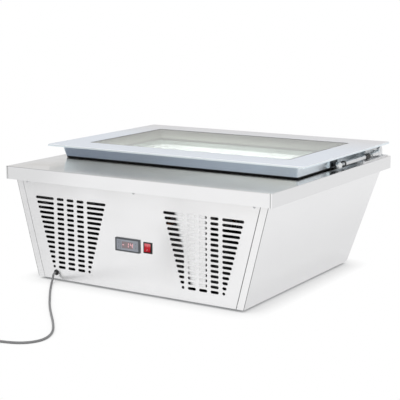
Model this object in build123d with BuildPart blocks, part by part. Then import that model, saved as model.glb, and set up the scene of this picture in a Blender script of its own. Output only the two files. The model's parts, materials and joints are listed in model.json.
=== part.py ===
from build123d import *
from math import cos, hypot, pi, radians, sin, tan
import os

os.makedirs("parts", exist_ok=True)

# Ice cream display freezer: millimetres, +X right, +Y to the back, +Z up.
# The origin is on the floor, under the middle of the worktop.

# Worktop, as wide and deep as the lid and the margins beside and in front of it
lid_side = 4
front_shelf = 164
worktop_height = 297.5
skirt = 34
worktop_sheet = 1.5
worktop_edge = 1.2
corner_seam = 0.8
corner_seam_depth = 0.5
corner_seam_inset = 5

# Casing under the worktop
sheet = 1.2
skirt_overhang = 19
side_rake = 68
back_rake = 72
panel_foot = 6.5
strip = 20
panel_seam = 1
pan_lip = 14
foot_diameter = 30
foot_inset = 42
rail_height = 42
rail_depth = 18
foot_edge = 1
fit = 0.2
slack = 0.5
over = 1

# Vents in the front panel
vent_inset = 179
vent_rows = 15
row_pitch = 12.9
top_row = 219.8
slot_height = 7.3
slot_width = 22.9
slot_pitch = 32.4
inner_slots = 3
outer_slot_start = 54
vent_half_top = 114
vent_half_foot = 62

# Sheet inside the right vent, edges from the vent's middle and the floor
baffle_sheet = 1
baffle_edge = 6
baffle_top_edge = (-70, 228)
baffle_foot_edge = (-22, 45)
sheet_roll = 26

# Screws
screw_shank = 4
screw_head = 8
screw_head_height = 2.2
screw_head_taper = 30
screw_hold = 3
hole_room = 0.2
panel_screw_inset = 36.5
panel_screw_drop = 4.5

# Controller and switch
control_height = 125
controller_x = -20
controller_width = 75
controller_height = 34.5
controller_proud = 3
controller_corner = 1.5
controller_body = (71, 29, 58)
face_width = 67
face_height = 27
face_depth = 1.2
lens_width = 34
lens_height = 17
key_width = 9
key_height = 7
key_column = 26
key_row = 5.5
key_proud = 0.8
key_depth = 2.8
key_travel = 0.6
key_room = 0.3
switch_x = 41
switch_width = 26
switch_height = 28
switch_proud = 2
switch_lip = 1.3
switch_edge = 0.5
switch_wall = 2.4
switch_body_depth = 22
rocker_tilt = 10
rocker_room = 0.4
rocker_pin = 3
rocker_end = 5.5
rocker_middle = 3.2
rocker_back = 4
pin_room = 0.05

# Lid
lid_width = 792
lid_depth = 512
lid_rise = 39
lid_gap = 5
flange = 5.2
flange_edge = 2
flange_corner = 5
lid_overhang = 35
lid_member = 83
lid_wall = 3
lid_corner = 6
lid_flare = 6.5
opening_corner = 6
inner_wall = 10
glass_ledge = 7
glass = 4
seal = 2
seal_bed = 0.8
underframe = 2
gasket_inset = 6
gasket_width = 10

# Tank and insulation
collar_room = 3
collar_lip = 18
collar_wall = 4
collar_lip_height = 1
collar_height = 12
tank_corner = 30
tank_depth = 132
tank_wall = 1
coil_room = 10
coil_tube = 8
coil_turns = 4
coil_pitch = 24
coil_foot = 11
coil_in_x = 20
coil_out_x = 110
coil_tail = 14
coil_tail_bend = 18
foam_floor = 40
foam_front = 38
probe_diameter = 6
probe_length = 40
end_round = 0.25

# Hinges and struts, heights above the worktop
pivot_inset = 16
pivot_height = 16
pivot_pin = 8
pivot_head = 12
pivot_eye = 11
arm_thickness = 4
arm_height = 20
arm_reach = 90
arm_gap = 2
arm_screws_ahead = (60, 80)
arm_boss = 50
ear_thickness = 3
ear_reach = 46
base_thickness = 3
base_reach = 162
base_width = 20
base_screw_insets = (18, 16)
strut_gap = 2
strut_height = 12
strut_stud = 6
strut_eye = 16
strut_eye_width = 8
lid_stud_ahead = 280
anchor_ahead = 32
stud_plate = (40, 20, 3)
stud_plate_lift = 4
stud_head = 10
stud_head_width = 2
cylinder_diameter = 12
cylinder_bore = 10.4
cylinder_start = 26
cylinder_length = 142
collar_ring = 15
collar_ring_width = 6
strut_neck = 7
rod_diameter = 4
rod_length = 125

# Machinery
compressor_inset = 3
compressor_diameter = 130
compressor_height = 150
compressor_rim = 6
compressor_dome = 32
compressor_round = 16
compressor_foot = (176, 112, 3)
mount_spread = (150, 86)
mount_diameter = 20
mount_height = 12
stub_diameter = 10
stub_rise = 14
discharge_stub = (-25, -20)
suction_stub = (22, 20)
terminal_cover = (26, 46, 60)
terminal_cover_round = 3
fin_count = 24
fin = 0.8
end_plate = 1.6
core_width = 186
tube_rows = 6
tube_columns = 2
tube_pitch = 27
tube_diameter = 8
tube_bend = 12
tube_tail = 12
first_row = 45
fin_gap = 4
shroud_gap = 4
shroud_sheet = 1.5
shroud_ring = 14
fan_radius = 70
fan_gap = 4
fan_hub = 20
fan_depth = 20
fan_blades = 5
blade_thickness = 2
blade_lap = 2
fan_pitch = 32
fan_shaft = 6
motor_diameter = 58
motor_depth = 42
bracket_width = 24
bracket_sheet = 3
drier_x = 75
drier_ahead = 49
drier_diameter = 18
drier_length = 80
drier_top = 165
liquid_tube = 6
capillary = 3
pipe_bend = 12
discharge_run = 36
pipe_level = 230
capillary_level = 60

# Mains cord: its lay is measured from the gland's tip, with heights as a share of the gland's
gland_inset = 64.5
gland_height = 23.4
gland_flange = 15
gland_shank = 11
gland_flange_width = 2
gland_neck_length = 2
gland_taper = 5
gland_nut = 7
bend_share = 0.45
cord_diameter = 5.6
cord_lay = ((0, 0, 1), (0, -5, 1), (0.3, -9.6, 0.77), (0.3, -11.3, 0.43), (1.6, -15.5, 0.14), (6, -23.5, 0.02),
            (12.5, -32.5, 0), (21, -43.5, 0), (33, -59, 0), (50, -81.5, 0), (70, -106.5, 0), (95, -137, 0),
            (138, -189, 0), (186, -241, 0), (238, -294.5, 0), (287, -353, 0), (304.5, -405, 0), (282.5, -445, 0),
            (232.5, -463, 0), (179.5, -464, 0))
cord_coil_lead = ((139.5, -467), (111.5, -467))
coil_gap = 0.6
cord_coil_radius = 37
inward_half_turns = 4
outward_half_turns = 5
tie_thickness = 1.5
tie_width = 9
tie_room = 0.8
plug_body = (38, 22, 34)
plug_neck = 12
plug_neck_length = 22
plug_neck_taper = 5
plug_pin = 4
plug_pin_length = 19
plug_pin_pitch = 9.5

# Places worked out from the sizes above
width = lid_width + 2 * lid_side
depth = lid_depth + front_shelf
skirt_foot = worktop_height - skirt
worktop_under = worktop_height - worktop_sheet
panel_top = worktop_under - slack
body_half_top = width / 2 - skirt_overhang
front = skirt_overhang - depth / 2
skin = sheet * hypot(1, max(side_rake, back_rake) / skirt_foot)
front_inside = front + skin
front_plane = Plane(origin=(0, front, 0), x_dir=(1, 0, 0), z_dir=(0, -1, 0))


def half_width(z):
    """Half width of the leaning sides at a height."""
    return body_half_top - side_rake * (1 - z / skirt_foot)


vent_centre = body_half_top - vent_inset
gland_x = gland_inset - half_width(gland_height)


def back(z):
    """Place of the leaning back at a height."""
    return depth / 2 - skirt_overhang - back_rake * (1 - z / skirt_foot)


def casing(low, high, sides, ends=None, front_face=front):
    """Block between two heights, drawn in from the casing's outer faces."""
    ends = sides if ends is None else ends
    with BuildPart() as solid:
        for z in (low, high):
            near = front_face + ends
            far = back(z) - ends
            with BuildSketch(Plane.XY.offset(z)):
                with Locations((0, (near + far) / 2)):
                    Rectangle(2 * (half_width(z) - sides), far - near)
        loft()
    return solid.part


def block(x, y, z, mode=Mode.ADD):
    """Box between pairs of limits."""
    with Locations((sum(x) / 2, sum(y) / 2, sum(z) / 2)):
        Box(abs(x[1] - x[0]), abs(y[1] - y[0]), abs(z[1] - z[0]), mode=mode)


def bar_x(x, y, z, diameter, mode=Mode.ADD):
    """Round bar along X between two limits."""
    with Locations(Location((sum(x) / 2, y, z), (0, 90, 0))):
        Cylinder(diameter / 2, abs(x[1] - x[0]), mode=mode)


def bar_y(x, y, z, diameter, mode=Mode.ADD):
    """Round bar along Y between two limits."""
    with Locations(Location((x, sum(y) / 2, z), (90, 0, 0))):
        Cylinder(diameter / 2, abs(y[1] - y[0]), mode=mode)


def bar_z(x, y, z, diameter, mode=Mode.ADD):
    """Round bar along Z between two limits."""
    with Locations((x, y, sum(z) / 2)):
        Cylinder(diameter / 2, abs(z[1] - z[0]), mode=mode)


def ring(size, hole, z, corner, hole_corner, centre_y):
    """Flat frame between two heights, round at its corners."""
    with BuildSketch(Plane.XY.offset(z[0])) as profile:
        with Locations((0, centre_y)):
            RectangleRounded(size[0], size[1], corner)
            RectangleRounded(hole[0], hole[1], hole_corner, mode=Mode.SUBTRACT)
    extrude(profile.sketch, amount=z[1] - z[0])


def tube(points, diameter, bend):
    """Round tube along straight runs joined by bends."""
    with BuildLine() as path:
        FilletPolyline(*points, radius=bend)
    with BuildSketch(path.line ^ 0) as section:
        Circle(diameter / 2)
    sweep(sections=section.sketch, path=path.line)


def keep(piece, name):
    """Names a finished piece and writes it."""
    piece.part.label = name
    export_step(piece.part, f"parts/{name}.step")


# Casing sheets

shell = casing(panel_foot, panel_top, 0)
shell_inside = casing(panel_foot - over, panel_top + over, skin)
between_strips = casing(panel_foot - over, panel_top + over, strip, -over)
rear_field = casing(panel_foot, panel_top, strip + panel_seam, -over)

for name, kept in (("left_side_panel", Keep.BOTTOM), ("right_side_panel", Keep.TOP)):
    with BuildPart() as side_panel:
        add(shell)
        add(shell_inside, mode=Mode.SUBTRACT)
        add(between_strips, mode=Mode.SUBTRACT)
        split(bisect_by=Plane.YZ, keep=kept)
    keep(side_panel, name)

with BuildPart() as rear_panel:
    add(shell)
    add(shell_inside, mode=Mode.SUBTRACT)
    add(rear_field, mode=Mode.INTERSECT)
    split(bisect_by=Plane.XZ, keep=Keep.BOTTOM)
keep(rear_panel, "rear_panel")

vent_foot = top_row - (vent_rows - 1) * row_pitch
front_half_foot = half_width(panel_foot) - strip - panel_seam
front_half_top = half_width(panel_top) - strip - panel_seam
panel_screw_height = skirt_foot - panel_screw_drop
panel_screw_x = half_width(panel_screw_height) - panel_screw_inset
panel_screw_places = (-panel_screw_x, 0, panel_screw_x)
switch_hole = (switch_width - 2 * switch_lip, switch_height - 2 * switch_lip)

with BuildPart() as front_panel:
    with BuildSketch(front_plane):
        Polygon((-front_half_foot, panel_foot), (front_half_foot, panel_foot),
                (front_half_top, panel_top), (-front_half_top, panel_top), align=None)
        for row in range(vent_rows):
            z = top_row - row * row_pitch
            half = vent_half_foot + (vent_half_top - vent_half_foot) * (z - vent_foot) / (top_row - vent_foot)
            for x in (-vent_centre, vent_centre):
                with Locations((x, z)):
                    with GridLocations(slot_pitch, row_pitch, inner_slots, 1):
                        SlotOverall(slot_width, slot_height, mode=Mode.SUBTRACT)
                middle = (half + outer_slot_start) / 2
                with Locations((x - middle, z), (x + middle, z)):
                    SlotOverall(half - outer_slot_start, slot_height, mode=Mode.SUBTRACT)
        with Locations((controller_x, control_height)):
            Rectangle(controller_body[0] + 2 * fit, controller_body[1] + 2 * fit, mode=Mode.SUBTRACT)
        with Locations((switch_x, control_height)):
            Rectangle(switch_hole[0] + 2 * fit, switch_hole[1] + 2 * fit, mode=Mode.SUBTRACT)
        with Locations((gland_x, gland_height)):
            Circle(gland_shank / 2 + fit, mode=Mode.SUBTRACT)
        with Locations(*[(x, panel_screw_height) for x in panel_screw_places]):
            Circle(screw_shank / 2 + hole_room, mode=Mode.SUBTRACT)
    extrude(amount=-skin)
keep(front_panel, "front_panel")

rail_foot = panel_top - rail_height
rail_half = half_width(rail_foot) - 2 * skin - slack
with BuildPart() as front_rail:
    block((-rail_half, rail_half), (front_inside, front_inside + worktop_sheet), (rail_foot, panel_top))
    block((-rail_half, rail_half), (front_inside, front_inside + rail_depth),
          (panel_top - worktop_sheet, panel_top))
    for x in panel_screw_places:
        bar_y(x, (front, front_inside + rail_depth), panel_screw_height, screw_shank + 2 * hole_room,
              mode=Mode.SUBTRACT)
keep(front_rail, "front_rail")

pan_inside = casing(panel_foot + sheet, panel_foot + pan_lip + over, 2 * skin + fit)
with BuildPart() as base_pan:
    add(casing(panel_foot, panel_foot + pan_lip, skin + fit))
    add(pan_inside, mode=Mode.SUBTRACT)
    bar_y(gland_x, (front, front + rail_depth), gland_height, gland_flange + 2 * slack, mode=Mode.SUBTRACT)
keep(base_pan, "base_pan")
pan_top = panel_foot + sheet

foot_x = half_width(panel_foot) - foot_inset
foot_y = (front + foot_inset, back(panel_foot) - foot_inset)
with BuildPart() as feet:
    for x in (-foot_x, foot_x):
        for y in foot_y:
            with Locations((x, y, panel_foot / 2)):
                Cylinder(foot_diameter / 2, panel_foot)
    chamfer(feet.edges().group_by(Axis.Z)[0], foot_edge)
keep(feet, "feet")

with BuildPart() as panel_screws:
    for x in panel_screw_places:
        with BuildSketch(front_plane):
            with Locations((x, panel_screw_height)):
                Circle(screw_head / 2)
        extrude(amount=screw_head_height, taper=screw_head_taper)
        bar_y(x, (front, front_inside + worktop_sheet + screw_hold), panel_screw_height, screw_shank)
keep(panel_screws, "panel_screws")

# Lid places

lid_y = depth / 2 - lid_depth / 2
lid_top = worktop_height + lid_rise
lid_under = worktop_height + lid_gap
flange_under = lid_top - flange
body_size = (lid_width - 2 * lid_overhang, lid_depth - 2 * lid_overhang)
opening = (lid_width - 2 * lid_member, lid_depth - 2 * lid_member)


def grown(size, by):
    """Size of a frame that is wider by a margin on every side."""
    return (size[0] + 2 * by, size[1] + 2 * by)


gasket_size = grown(body_size, -gasket_inset)
collar_size = grown(gasket_size, -gasket_width - collar_room)
tank_size = grown(collar_size, -collar_lip)
collar_outer = grown(tank_size, collar_wall)
worktop_hole = grown(collar_outer, fit)

# Worktop and tank

pivot_y = depth / 2 - pivot_inset
base_y = (pivot_y + pivot_eye - base_reach, pivot_y + pivot_eye)
arm_inner = body_size[0] / 2 + lid_flare
arm_outer = arm_inner + arm_thickness
ear_inner = arm_outer + arm_gap
ear_outer = ear_inner + ear_thickness
base_outer = ear_inner + base_width
base_screw_x = (ear_outer + base_outer) / 2
base_screw_places = [(base_screw_x, base_y[0] + base_screw_insets[0]),
                     (base_screw_x, base_y[1] - base_screw_insets[1])]

with BuildPart() as worktop:
    with BuildSketch(Plane.XY.offset(skirt_foot)):
        Rectangle(width, depth)
    extrude(amount=skirt)
    fillet(worktop.edges().group_by(Axis.Z)[-1], worktop_edge)
    with BuildSketch(Plane.XY.offset(skirt_foot)):
        Rectangle(width - 2 * worktop_sheet, depth - 2 * worktop_sheet)
    extrude(amount=skirt - worktop_sheet, mode=Mode.SUBTRACT)
    with BuildSketch(Plane.XY.offset(worktop_under)):
        with Locations((0, lid_y)):
            RectangleRounded(*worktop_hole, tank_corner + collar_wall)
        for x, y in base_screw_places:
            with Locations((-x, y), (x, y)):
                Circle(screw_shank / 2 + hole_room)
    extrude(amount=worktop_sheet, mode=Mode.SUBTRACT)
    seam_x = width / 2 - corner_seam_inset
    for x in (-seam_x, seam_x):
        block((x - corner_seam / 2, x + corner_seam / 2), (-depth / 2, corner_seam_depth - depth / 2),
              (skirt_foot, worktop_height - worktop_edge), mode=Mode.SUBTRACT)
keep(worktop, "worktop")

collar_foot = worktop_height - collar_height
with BuildPart() as tank_collar:
    ring(collar_outer, tank_size, (collar_foot, worktop_height), tank_corner + collar_wall,
         tank_corner, lid_y)
    ring(collar_size, tank_size, (worktop_height, worktop_height + collar_lip_height),
         tank_corner + collar_lip, tank_corner, lid_y)
keep(tank_collar, "tank_collar")

tank_floor = worktop_height - tank_depth
tank_outer = grown(tank_size, tank_wall)
tank_under = tank_floor - tank_wall
with BuildPart() as tank:
    with BuildSketch(Plane.XY.offset(tank_under)):
        with Locations((0, lid_y)):
            RectangleRounded(*tank_outer, tank_corner + tank_wall)
    extrude(amount=collar_foot - tank_under)
    with BuildSketch(Plane.XY.offset(tank_floor)):
        with Locations((0, lid_y)):
            RectangleRounded(*tank_size, tank_corner)
    extrude(amount=collar_foot - tank_floor, mode=Mode.SUBTRACT)
    ring(collar_outer, tank_size, (collar_foot - tank_wall, collar_foot), tank_corner + collar_wall,
         tank_corner, lid_y)
keep(tank, "tank")

# Evaporator around the tank, in the room left by the insulation

cavity = grown(tank_outer, coil_room)
bulkhead_y = lid_y - cavity[1] / 2 - foam_front - sheet
coil_offset = coil_tube / 2 + fit
coil_x = tank_outer[0] / 2 + coil_offset
coil_y = tank_outer[1] / 2 + coil_offset
coil_corner = tank_corner + tank_wall + coil_offset
coil_z = tank_under + coil_foot
coil_end_y = bulkhead_y - coil_tail
coil_corners = ((coil_x, lid_y - coil_y), (coil_x, lid_y + coil_y),
                (-coil_x, lid_y + coil_y), (-coil_x, lid_y - coil_y))
coil_step = coil_pitch / len(coil_corners)
coil_points = [(coil_in_x, coil_end_y, coil_z), (coil_in_x, lid_y - coil_y, coil_z)]
for turn in range(coil_turns):
    for index, (x, y) in enumerate(coil_corners):
        coil_points.append((x, y, coil_z + turn * coil_pitch + (index + 1) * coil_step))
coil_top = coil_points[-1][2] + coil_step
coil_points.append((coil_out_x, lid_y - coil_y, coil_top))
coil_points.append((coil_out_x, coil_end_y, coil_top))
coil_bends = [coil_tail_bend] + [coil_corner] * len(coil_corners) * coil_turns + [coil_tail_bend]
with BuildPart() as evaporator_coil:
    tube(coil_points, coil_tube, coil_bends)
keep(evaporator_coil, "evaporator_coil")

tube_holes = ((coil_in_x, coil_z), (coil_out_x, coil_top))
foam_foot = tank_under - foam_floor
foam_top = worktop_under - screw_hold - slack
with BuildPart() as insulation:
    add(casing(foam_foot, foam_top, skin + fit, front_face=bulkhead_y + sheet - skin - fit))
    with BuildSketch(Plane.XY.offset(tank_under)):
        with Locations((0, lid_y)):
            RectangleRounded(*cavity, tank_corner + tank_wall + coil_room)
    extrude(amount=foam_top - tank_under, mode=Mode.SUBTRACT)
    for (x, z), heading in zip(tube_holes, (1, -1)):
        bar_y(x, (bulkhead_y, lid_y - coil_y), z, coil_tube + 2 * fit, mode=Mode.SUBTRACT)
        block((x - heading * coil_offset, x + heading * (coil_tail_bend + coil_offset)),
              (lid_y - coil_y - coil_tail_bend, lid_y - coil_y), (z - coil_tube, z + coil_tube),
              mode=Mode.SUBTRACT)
keep(insulation, "insulation")

with BuildPart() as bulkhead:
    with BuildSketch(Plane(origin=(0, bulkhead_y, 0), x_dir=(1, 0, 0), z_dir=(0, -1, 0))):
        top_half = half_width(panel_top) - skin - slack
        foot_half = half_width(pan_top) - 2 * skin - slack
        Polygon((-foot_half, pan_top), (foot_half, pan_top), (top_half, panel_top), (-top_half, panel_top),
                align=None)
        with Locations(*tube_holes):
            Circle(coil_tube / 2 + fit, mode=Mode.SUBTRACT)
    extrude(amount=-sheet)
keep(bulkhead, "bulkhead")

probe_y = lid_y + tank_outer[1] / 2 + probe_diameter / 2 + fit
probe_z = coil_z + coil_pitch + coil_pitch
with BuildPart() as temperature_probe:
    bar_x((-probe_length / 2, probe_length / 2), probe_y, probe_z, probe_diameter)
    fillet(temperature_probe.edges().filter_by(GeomType.CIRCLE), end_round * probe_diameter)
keep(temperature_probe, "temperature_probe")

# Lid frame, glass and gasket


def flared(size, z, corner, mode=Mode.ADD):
    """Block of the lid's body, wider at its top by the flare."""
    outlines = []
    for level, by in zip(z, (0, lid_flare)):
        with BuildSketch(Plane.XY.offset(level)) as outline:
            with Locations((0, lid_y)):
                RectangleRounded(*grown(size, by), corner)
        outlines.append(outline.sketch)
    loft(outlines, mode=mode)


arm_screw_places = [pivot_y - ahead for ahead in arm_screws_ahead]
pivot_z = worktop_height + pivot_height
strut_z = worktop_height + strut_height
lid_stud_y = pivot_y - lid_stud_ahead
plate_z = strut_z + stud_plate_lift
wall_inner = body_size[0] / 2 - lid_wall
arm_start = pivot_y - arm_reach
with BuildPart() as lid_frame:
    ring((lid_width, lid_depth), opening, (flange_under, lid_top), flange_corner, opening_corner, lid_y)
    fillet(lid_frame.faces().sort_by(Axis.Z)[-1].outer_wire().edges(), flange_edge)
    flared(body_size, (lid_under, flange_under), lid_corner)
    flared(grown(body_size, -lid_wall), (lid_under, flange_under), lid_corner - lid_wall, mode=Mode.SUBTRACT)
    for side in (-1, 1):
        block((side * wall_inner, side * arm_inner), (arm_start, arm_start + arm_boss),
              (pivot_z - arm_height / 2, pivot_z + arm_height / 2))
        block((side * wall_inner, side * arm_inner),
              (lid_stud_y - stud_plate[0] / 2, lid_stud_y + stud_plate[0] / 2),
              (plate_z - stud_plate[1] / 2, plate_z + stud_plate[1] / 2))
    for side in (-1, 1):
        for y in arm_screw_places:
            bar_x((side * wall_inner, side * arm_inner), y, pivot_z, screw_shank + 2 * hole_room,
                  mode=Mode.SUBTRACT)
keep(lid_frame, "lid_frame")

with BuildPart() as lid_underframe:
    ring(grown(body_size, -lid_wall), grown(opening, inner_wall - glass_ledge),
         (lid_under, lid_under + underframe), lid_corner, opening_corner, lid_y)
    ring(grown(opening, inner_wall - glass_ledge), grown(opening, -glass_ledge), (lid_under, flange_under),
         opening_corner, opening_corner, lid_y)
keep(lid_underframe, "lid_underframe")

with BuildPart() as lid_gasket:
    ring(gasket_size, grown(gasket_size, -gasket_width), (worktop_height + fit, lid_under), lid_corner,
         lid_corner, lid_y)
keep(lid_gasket, "lid_gasket")

with BuildPart() as glazing_seal:
    ring(opening, grown(opening, -glass_ledge), (flange_under, flange_under + seal_bed), opening_corner,
         opening_corner, lid_y)
    ring(opening, grown(opening, -seal), (flange_under + seal_bed, lid_top - slack), opening_corner,
         opening_corner, lid_y)
keep(glazing_seal, "glazing_seal")

with BuildPart() as lid_glass:
    with BuildSketch(Plane.XY.offset(flange_under + seal_bed)):
        with Locations((0, lid_y)):
            RectangleRounded(*grown(opening, -seal), opening_corner)
    extrude(amount=glass)
keep(lid_glass, "lid_glass")

# Hinges and gas struts, one of each at either side

base_top = worktop_height + base_thickness
strut_x = ear_outer + strut_gap + strut_eye_width / 2
anchor_y = pivot_y - anchor_ahead
eye_half = strut_eye_width / 2
stud_end = strut_x + eye_half + slack
plate_outer = arm_inner + stud_plate[2]
cylinder_y = lid_stud_y + cylinder_start

for side, word in ((-1, "left"), (1, "right")):
    with BuildPart() as hinge_base:
        block((side * ear_inner, side * base_outer), base_y, (worktop_height, base_top))
        block((side * ear_inner, side * ear_outer), (pivot_y - ear_reach, pivot_y), (worktop_height, pivot_z))
        bar_x((side * ear_inner, side * ear_outer), pivot_y, pivot_z, 2 * pivot_eye)
        block((side * ear_inner, side * ear_outer), (pivot_y, pivot_y + pivot_eye), (worktop_height, pivot_z))
        bar_x((side * ear_inner, side * ear_outer), anchor_y, strut_z, strut_eye)
        bar_x((side * (arm_inner - slack), side * ear_outer), pivot_y, pivot_z, pivot_pin)
        bar_x((side * (arm_inner - slack - stud_head_width), side * (arm_inner - slack)), pivot_y, pivot_z,
              pivot_head)
        bar_x((side * ear_outer, side * stud_end), anchor_y, strut_z, strut_stud)
        bar_x((side * stud_end, side * (stud_end + stud_head_width)), anchor_y, strut_z, stud_head)
        for x, y in base_screw_places:
            bar_z(side * x, y, (worktop_height, base_top), screw_shank + 2 * hole_room, mode=Mode.SUBTRACT)
    keep(hinge_base, f"hinge_base_{word}")

    with BuildPart() as hinge_arm:
        block((side * arm_inner, side * arm_outer), (arm_start, pivot_y),
              (pivot_z - arm_height / 2, pivot_z + arm_height / 2))
        bar_x((side * arm_inner, side * arm_outer), pivot_y, pivot_z, 2 * pivot_eye)
        bar_x((side * arm_inner, side * arm_outer), pivot_y, pivot_z, pivot_pin + 2 * pin_room,
              mode=Mode.SUBTRACT)
        for y in arm_screw_places:
            bar_x((side * arm_inner, side * arm_outer), y, pivot_z, screw_shank + 2 * hole_room,
                  mode=Mode.SUBTRACT)
    keep(hinge_arm, f"hinge_arm_{word}")

    with BuildPart() as strut_cylinder:
        bar_x((side * (strut_x - eye_half), side * (strut_x + eye_half)), lid_stud_y, strut_z, strut_eye)
        bar_y(side * strut_x, (lid_stud_y, cylinder_y), strut_z, strut_neck)
        bar_y(side * strut_x, (cylinder_y, cylinder_y + cylinder_length), strut_z, cylinder_diameter)
        bar_y(side * strut_x, (cylinder_y, cylinder_y + collar_ring_width), strut_z, collar_ring)
        bar_y(side * strut_x, (cylinder_y + collar_ring_width, cylinder_y + cylinder_length), strut_z,
              cylinder_bore, mode=Mode.SUBTRACT)
        bar_x((side * (strut_x - eye_half), side * (strut_x + eye_half)), lid_stud_y, strut_z,
              strut_stud + 2 * pin_room, mode=Mode.SUBTRACT)
    keep(strut_cylinder, f"strut_cylinder_{word}")

    with BuildPart() as strut_rod:
        bar_x((side * (strut_x - eye_half), side * (strut_x + eye_half)), anchor_y, strut_z, strut_eye)
        bar_y(side * strut_x, (anchor_y - rod_length, anchor_y), strut_z, rod_diameter)
        bar_x((side * (strut_x - eye_half), side * (strut_x + eye_half)), anchor_y, strut_z,
              strut_stud + 2 * pin_room, mode=Mode.SUBTRACT)
    keep(strut_rod, f"strut_rod_{word}")

with BuildPart() as lid_studs:
    for side in (-1, 1):
        block((side * arm_inner, side * plate_outer),
              (lid_stud_y - stud_plate[0] / 2, lid_stud_y + stud_plate[0] / 2),
              (plate_z - stud_plate[1] / 2, plate_z + stud_plate[1] / 2))
        bar_x((side * plate_outer, side * stud_end), lid_stud_y, strut_z, strut_stud)
        bar_x((side * stud_end, side * (stud_end + stud_head_width)), lid_stud_y, strut_z, stud_head)
keep(lid_studs, "lid_studs")

with BuildPart() as hinge_screws:
    for side in (-1, 1):
        for x, y in base_screw_places:
            bar_z(side * x, y, (worktop_under - screw_hold, base_top), screw_shank)
            bar_z(side * x, y, (base_top, base_top + screw_head_height), screw_head)
keep(hinge_screws, "hinge_screws")

with BuildPart() as arm_screws:
    for side in (-1, 1):
        for y in arm_screw_places:
            bar_x((side * (wall_inner - screw_hold), side * arm_outer), y, pivot_z, screw_shank)
            bar_x((side * arm_outer, side * (arm_outer + screw_head_height)), y, pivot_z, screw_head)
keep(arm_screws, "arm_screws")

# Controller in the front panel

controller_front = front - controller_proud
face_back = controller_front + face_depth
key_front = controller_front - key_proud
key_back = key_front + key_depth
key_places = {
    "key_set": (controller_x - key_column, control_height + key_row),
    "key_power": (controller_x - key_column, control_height - key_row),
    "key_up": (controller_x + key_column, control_height + key_row),
    "key_down": (controller_x + key_column, control_height - key_row),
}


def panel_block(centre, size, y, mode=Mode.ADD):
    """Box on the front panel, by its middle and size seen from the front."""
    block((centre[0] - size[0] / 2, centre[0] + size[0] / 2), y,
          (centre[1] - size[1] / 2, centre[1] + size[1] / 2), mode=mode)


controller_centre = (controller_x, control_height)
key_hole = (key_width + 2 * key_room, key_height + 2 * key_room)
with BuildPart() as controller_housing:
    with BuildSketch(front_plane):
        with Locations(controller_centre):
            RectangleRounded(controller_width, controller_height, controller_corner)
    extrude(amount=controller_proud)
    panel_block(controller_centre, controller_body, (front, front + controller_body[2]))
    panel_block(controller_centre, (face_width, face_height), (controller_front, face_back),
                mode=Mode.SUBTRACT)
    for place in key_places.values():
        panel_block(place, key_hole, (face_back, key_back + key_travel + fit), mode=Mode.SUBTRACT)
keep(controller_housing, "controller_housing")

with BuildPart() as controller_face:
    panel_block(controller_centre, (face_width - 2 * fit, face_height - 2 * fit),
                (controller_front + fit, face_back))
    panel_block(controller_centre, (lens_width, lens_height), (controller_front, face_back),
                mode=Mode.SUBTRACT)
    for place in key_places.values():
        panel_block(place, key_hole, (controller_front, face_back), mode=Mode.SUBTRACT)
keep(controller_face, "controller_face")

with BuildPart() as display_lens:
    panel_block(controller_centre, (lens_width - 2 * fit, lens_height - 2 * fit),
                (controller_front + fit, face_back))
keep(display_lens, "display_lens")

for name, place in key_places.items():
    with BuildPart() as key:
        panel_block(place, (key_width, key_height), (key_front, key_back))
        fillet(key.edges().group_by(Axis.Y)[0], key_room)
    keep(key, name)

# Mains switch with a rocker on two stub pins

switch_front = front - switch_proud
switch_centre = (switch_x, control_height)
pocket_half = switch_hole[1] / 2 - switch_wall / 2
pocket_half_width = switch_hole[0] / 2 - switch_wall
rocker_y = switch_front + rocker_middle
rocker_half = (pocket_half - rocker_end * sin(radians(rocker_tilt)) - rocker_room) / cos(radians(rocker_tilt))
rocker_half_width = pocket_half_width - rocker_room
pocket_back = rocker_y + rocker_back + rocker_half * sin(radians(rocker_tilt)) + rocker_room
pin_reach = pocket_half_width + switch_wall / 2
with BuildPart() as switch_bezel:
    panel_block(switch_centre, (switch_width, switch_height), (switch_front, front))
    chamfer(switch_bezel.faces().sort_by(Axis.Y)[0].edges(), switch_edge)
    panel_block(switch_centre, switch_hole, (front, front + switch_body_depth))
    panel_block(switch_centre, (2 * pocket_half_width, 2 * pocket_half), (switch_front, pocket_back),
                mode=Mode.SUBTRACT)
    bar_x((switch_x - pin_reach, switch_x + pin_reach), rocker_y, control_height, rocker_pin + 2 * pin_room,
          mode=Mode.SUBTRACT)
keep(switch_bezel, "switch_bezel")

rocker_plane = Plane(origin=(switch_x - rocker_half_width, rocker_y, control_height),
                     x_dir=(0, sin(radians(rocker_tilt)), cos(radians(rocker_tilt))), z_dir=(1, 0, 0))
with BuildPart() as switch_rocker:
    with BuildSketch(rocker_plane):
        Polygon((-rocker_half, rocker_end), (-rocker_half, 0), (-rocker_back, -rocker_back),
                (rocker_back, -rocker_back), (rocker_half, 0), (rocker_half, rocker_end), (0, rocker_middle),
                align=None)
    extrude(amount=2 * rocker_half_width)
    bar_x((switch_x - pin_reach + fit, switch_x + pin_reach - fit), rocker_y, control_height, rocker_pin)
keep(switch_rocker, "switch_rocker")

# White sheet inside the right vent, flat on the panel and rolled back along its leaning edge

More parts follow.
